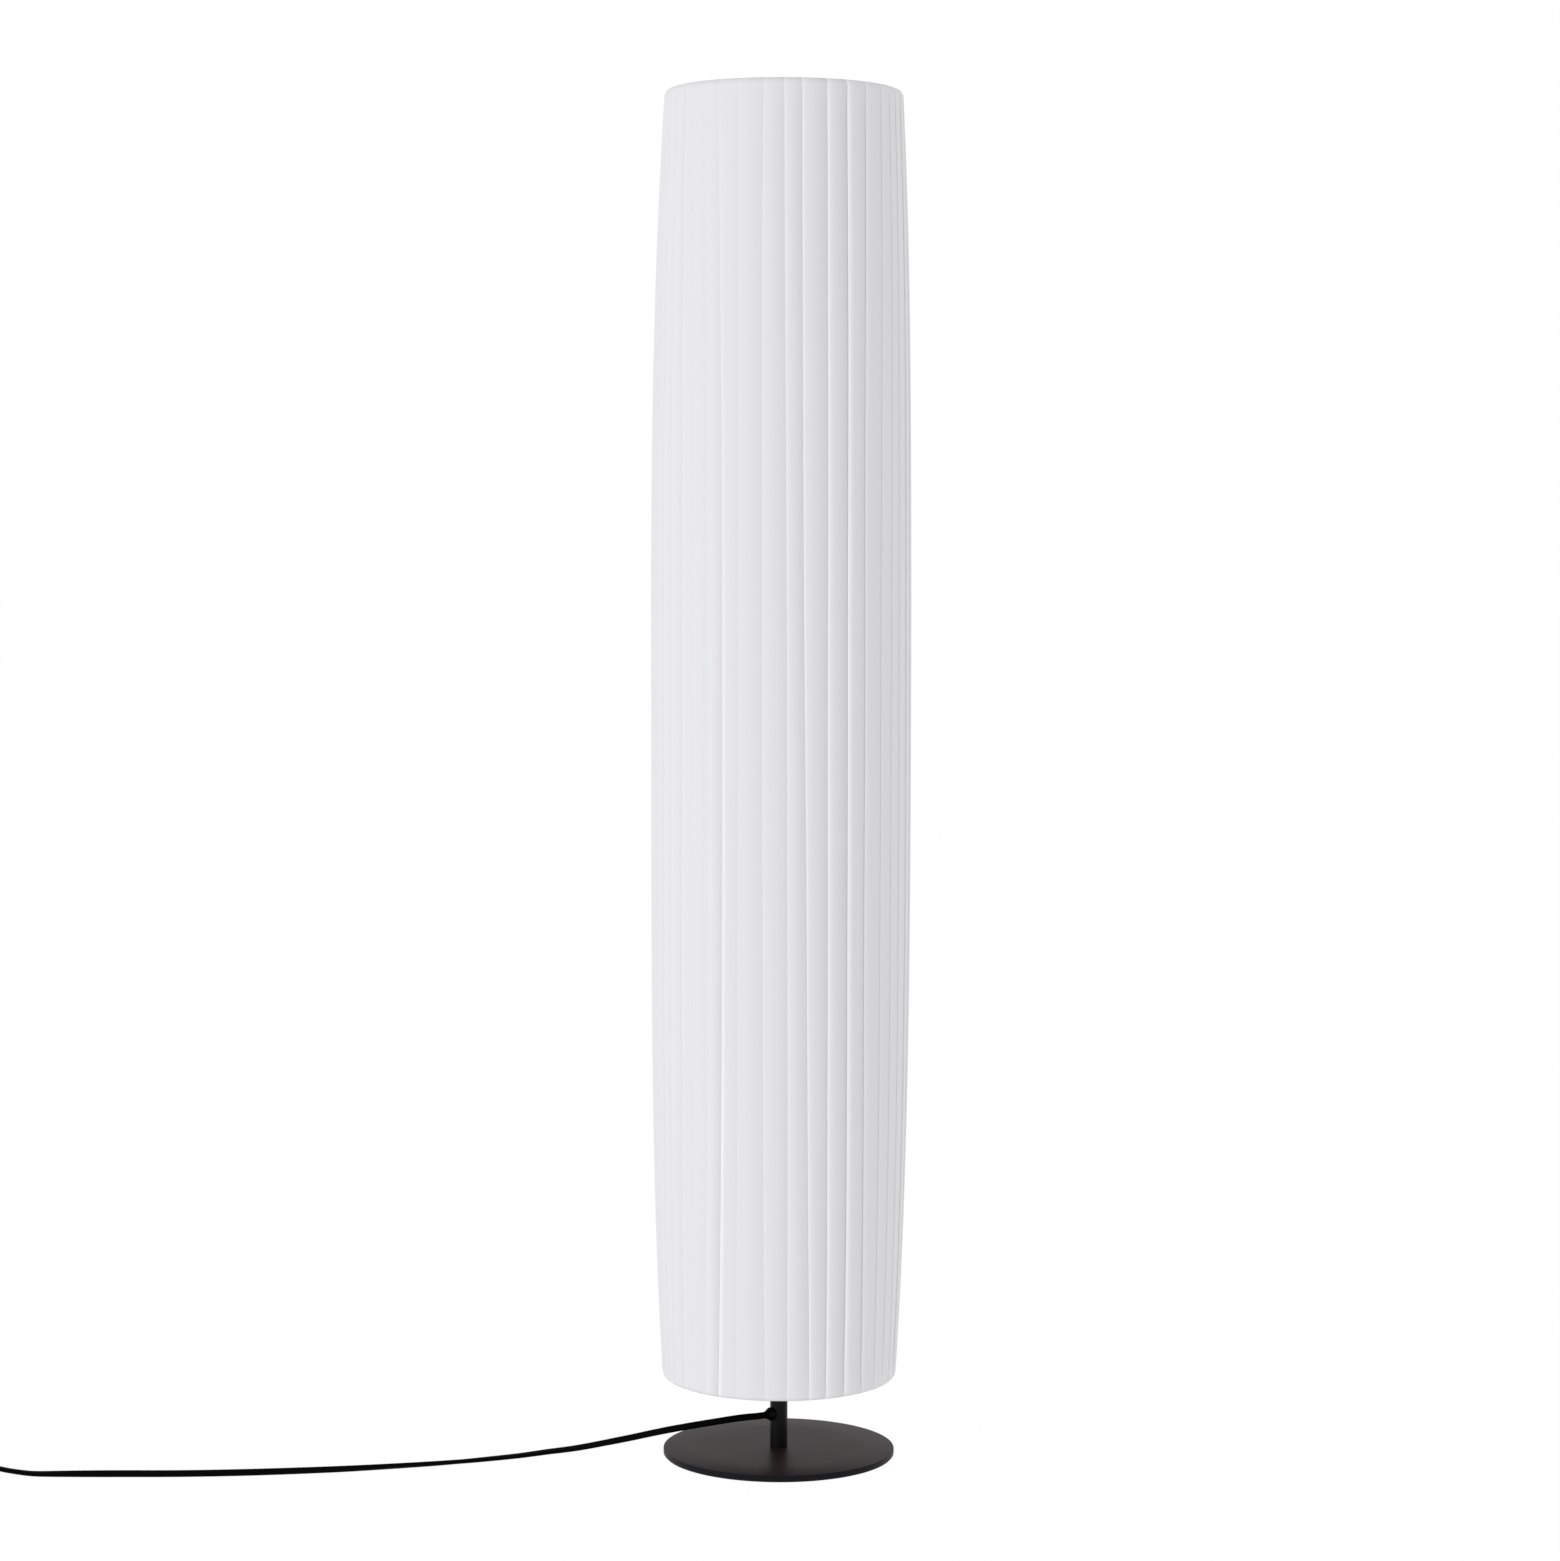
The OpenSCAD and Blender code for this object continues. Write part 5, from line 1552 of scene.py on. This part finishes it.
    def build(self) -> list[Piece]:
        """Builds the switch and returns its pieces, which sit on the lead."""
        refinish(BLOCK_PA, "switch_block")
        refinish(ZINC, "switch_screws")
        inside = [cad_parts[name] for name in ("switch_block", "switch_screws")]
        return [self.lower(), self.upper(), self.button(), *inside]


@dataclass
class Plug:
    """The flat two-pin plug, lying flat, with ribs on its neck and sleeves on its pins."""

    at: tuple[float, float, float] = (-880.3625, 2.0, 6.85)
    neck: tuple[float, float] = (3.6, 4.6)
    neck_l: float = 14.0
    ribs: int = 4
    rib_pitch: float = 2.9
    dish: tuple[float, float, float] = (11.5, 8.5, 2.3)
    dish_back: float = 13.0
    dish_out: float = 1.6
    body_l: float = 36.0
    back_w: float = 16.0
    front_w: float = 35.0
    thick: float = 13.7
    pin_r: float = 2.0
    pin_l: float = 19.0
    sleeve_l: float = 10.0
    spacing: float = 18.6

    def body(self) -> Piece:
        """Moulds the body, hollowed for the fingers on both flat sides, and its ribbed neck."""
        low, high, half = self.neck_l, self.neck_l + self.body_l, self.thick / 2
        blank = bmesh.new()
        for w, start, end, t in (
            (self.back_w, low, low + 1, self.thick - 4),
            (self.front_w, high - 14, high, self.thick - 4),
            (self.front_w - 6, high - 12, high, self.thick),
        ):
            at = moved(0, (start + end) / 2, 0)
            bmesh.ops.create_cube(blank, size=1.0, matrix=at @ Matrix.Diagonal((w, end - start, t, 1)))
        hulled(blank)
        softened(blank, [e for e in blank.edges if e.calc_face_angle(0) > math.radians(8)], 1.3, 4)
        dishes = []
        for side in (-1, 1):
            dish = bmesh.new()
            at = moved(0, high - self.dish_back, side * (half + self.dish_out))
            size = Matrix.Diagonal((*self.dish, 1))
            bmesh.ops.create_uvsphere(dish, u_segments=48, v_segments=24, radius=1.0, matrix=at @ size)
            dishes.append(dish)
        start, end = self.neck
        line = [(0, 0), (start - 0.3, 0), (start, 0.3)]
        for k in range(self.ribs):
            y = 1.6 + k * self.rib_pitch
            r = start + (end - start) * y / self.neck_l
            line += [(r, y), (r - 0.7, y + 0.3), (r - 0.7, y + 1.0), (r + 0.1, y + 1.3)]
        line += [(end, self.neck_l - 0.5), (end + 0.6, self.neck_l + 0.4), (0, self.neck_l + 2)]
        bm = place(joined(carved(blank, *dishes), place(lathe(line, 40), turned("X", -90))), moved(*self.at))
        return deliver("plug", bm, PLUG_PVC, Seat(Body.STAND, "switch_black", ("plug_body",)), 30)

    def both(self, profile: Profile, closed: bool = False) -> Shape:
        """Turns a profile along both pins."""
        face = self.neck_l + self.body_l
        pair = (
            place(lathe(profile, 32, closed), moved(side * self.spacing / 2, face, 0), turned("X", -90))
            for side in (-1, 1)
        )
        return place(joined(*pair), moved(*self.at))

    def build(self) -> list[Piece]:
        """Builds the plug and returns its pieces, which sit on the lead's end."""
        r, s, e = self.pin_r, self.sleeve_l, self.pin_l
        pin = [
            (0, 0), (r - 0.3, 0), (r - 0.3, s), (r, s + 0.2), (r, e - 1.3), (r - 0.2, e - 0.6),
            (r - 0.7, e - 0.15), (r - 1.2, e), (0, e),
        ]
        sleeve = [(r - 0.3, -0.5), (r - 0.05, -0.5), (r - 0.05, s - 0.1), (r - 0.3, s)]
        metal = Seat(Body.STAND, "nickel", ("plug_pins",))
        moulded = Seat(Body.STAND, "switch_black", ("plug_pins",))
        return [
            self.body(),
            deliver("pins", self.both(pin), NICKEL, metal),
            deliver("pin_sleeves", self.both(sleeve, True), PLUG_PVC, moulded),
        ]


# Studio


@dataclass
class Studio:
    """Camera, white floor and world, and soft light from the front left. Its sizes are in metres."""

    eye: tuple[float, float, float] = (-0.0012, -3.2214, 0.83205)
    pitch: float = 4.112
    roll: float = 0.233
    focal_px: float = 3672.28
    frame_px: float = 1561.0
    sensor: float = 36.0
    view_reach: float = 100.0
    world_level: float = 0.75
    key_at: tuple[float, float, float] = (-2.6, -2.2, 0.9)
    key_size: tuple[float, float] = (1.4, 1.8)
    key_aim: tuple[float, float, float] = (0.0, 0.0, 0.6)
    key_power: float = 25.5
    key_colour: tuple[float, float, float] = (0.96, 0.97, 1.0)
    floor_half: float = 30.0
    floor_z: float = -0.1 * MM
    floor_paper: str = "#E4E4E4"
    floor_light: float = 1.02
    floor_white: float = 0.95
    floor_glow: float = 0.74

    def camera(self) -> None:
        """Sets the camera where the photograph was taken from."""
        data = bpy.data.cameras.new("camera")
        data.sensor_width = self.sensor
        data.lens = self.focal_px * self.sensor / self.frame_px
        data.clip_end = self.view_reach
        camera = bpy.data.objects.new("camera", data)
        camera.matrix_world = moved(*self.eye) @ (turned("X", 90 - self.pitch) @ turned("Z", self.roll))
        bpy.context.scene.collection.objects.link(camera)
        bpy.context.scene.camera = camera

    def seen(self, tree: Tree) -> Socket:
        """Returns 1 for rays from the camera, off metal or through glass, and 0 for light on the object."""
        path = add(tree, "ShaderNodeLightPath").outputs
        direct = calculated(tree, "MAXIMUM", path["Is Camera Ray"], path["Is Glossy Ray"])
        return calculated(tree, "MAXIMUM", direct, path["Is Transmission Ray"])

    def share(self, tree: Tree, unseen: float, seen: float) -> Socket:
        """Returns one value for light on the object and another for what the camera sees."""
        feeds = {"Value": self.seen(tree), "To Min": unseen, "To Max": seen}
        return add(tree, "ShaderNodeMapRange", feeds).outputs["Result"]

    def world(self) -> None:
        """Lights from all round at a plain level, and shows white."""
        world = bpy.data.worlds.new("studio")
        bpy.context.scene.world = world
        world.use_nodes = True
        tree = world.node_tree
        tree.nodes.clear()
        level = self.share(tree, self.world_level, 1.0)
        sky = add(tree, "ShaderNodeBackground", {"Color": (1, 1, 1, 1), "Strength": level})
        add(tree, "ShaderNodeOutputWorld", {"Surface": sky.outputs[0]})

    def floor(self) -> None:
        """Lays a white floor that keeps a soft trace of the lamp's shadow."""
        bm = bmesh.new()
        bmesh.ops.create_grid(
            bm, x_segments=1, y_segments=1, size=self.floor_half, matrix=moved(0, 0, self.floor_z)
        )
        mesh = bpy.data.meshes.new("floor")
        bm.to_mesh(mesh)
        bm.free()
        floor = bpy.data.objects.new("floor", mesh)
        bpy.context.scene.collection.objects.link(floor)
        material = bpy.data.materials.new("white_paper_floor")
        material.use_nodes = True
        tree = material.node_tree
        tree.nodes.clear()
        paper = add(tree, "ShaderNodeBsdfDiffuse", {"Color": linear(self.floor_paper)})
        glow = add(tree, "ShaderNodeEmission", {"Color": (1, 1, 1, 1), "Strength": self.floor_light})
        share = self.share(tree, self.floor_glow, self.floor_white)
        both = add(tree, "ShaderNodeMixShader", {0: share, 1: paper.outputs[0], 2: glow.outputs[0]})
        add(tree, "ShaderNodeOutputMaterial", {"Surface": both.outputs[0]})
        mesh.materials.append(material)

    def key(self) -> None:
        """Hangs the soft box, turned to the middle of the shade."""
        data = bpy.data.lights.new("key", "AREA")
        data.shape, data.size, data.size_y, data.energy = "RECTANGLE", *self.key_size, self.key_power
        data.color = self.key_colour
        key = bpy.data.objects.new("key", data)
        toward = Vector(self.key_aim) - Vector(self.key_at)
        key.matrix_world = moved(*self.key_at) @ toward.to_track_quat("-Z", "Y").to_matrix().to_4x4()
        key.visible_camera = False
        bpy.context.scene.collection.objects.link(key)

    def build(self) -> None:
        """Sets up everything around the lamp but the camera."""
        bpy.context.scene.view_settings.view_transform = "Standard"
        self.world()
        self.floor()
        self.key()


def main() -> None:
    """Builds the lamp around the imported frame, and the studio around the lamp."""
    logging.basicConfig(level=logging.INFO, format="%(name)s: %(message)s")
    studio, stand, switch = Studio(), Stand(), FootSwitch()
    studio.camera()
    on_lead = [*switch.build(), *Plug().build(), CoilTie().build()]
    SupplyLead(stand.bush, switch).build(on_lead)
    Base().build()
    stand.build()
    Light("lower", Body.LOWER_BULB, 250.0, 90.0).build()
    Light("upper", Body.UPPER_BULB, 770.0, 270.0).build()
    Shade().build()
    studio.build()


if __name__ == "__main__":
    main()
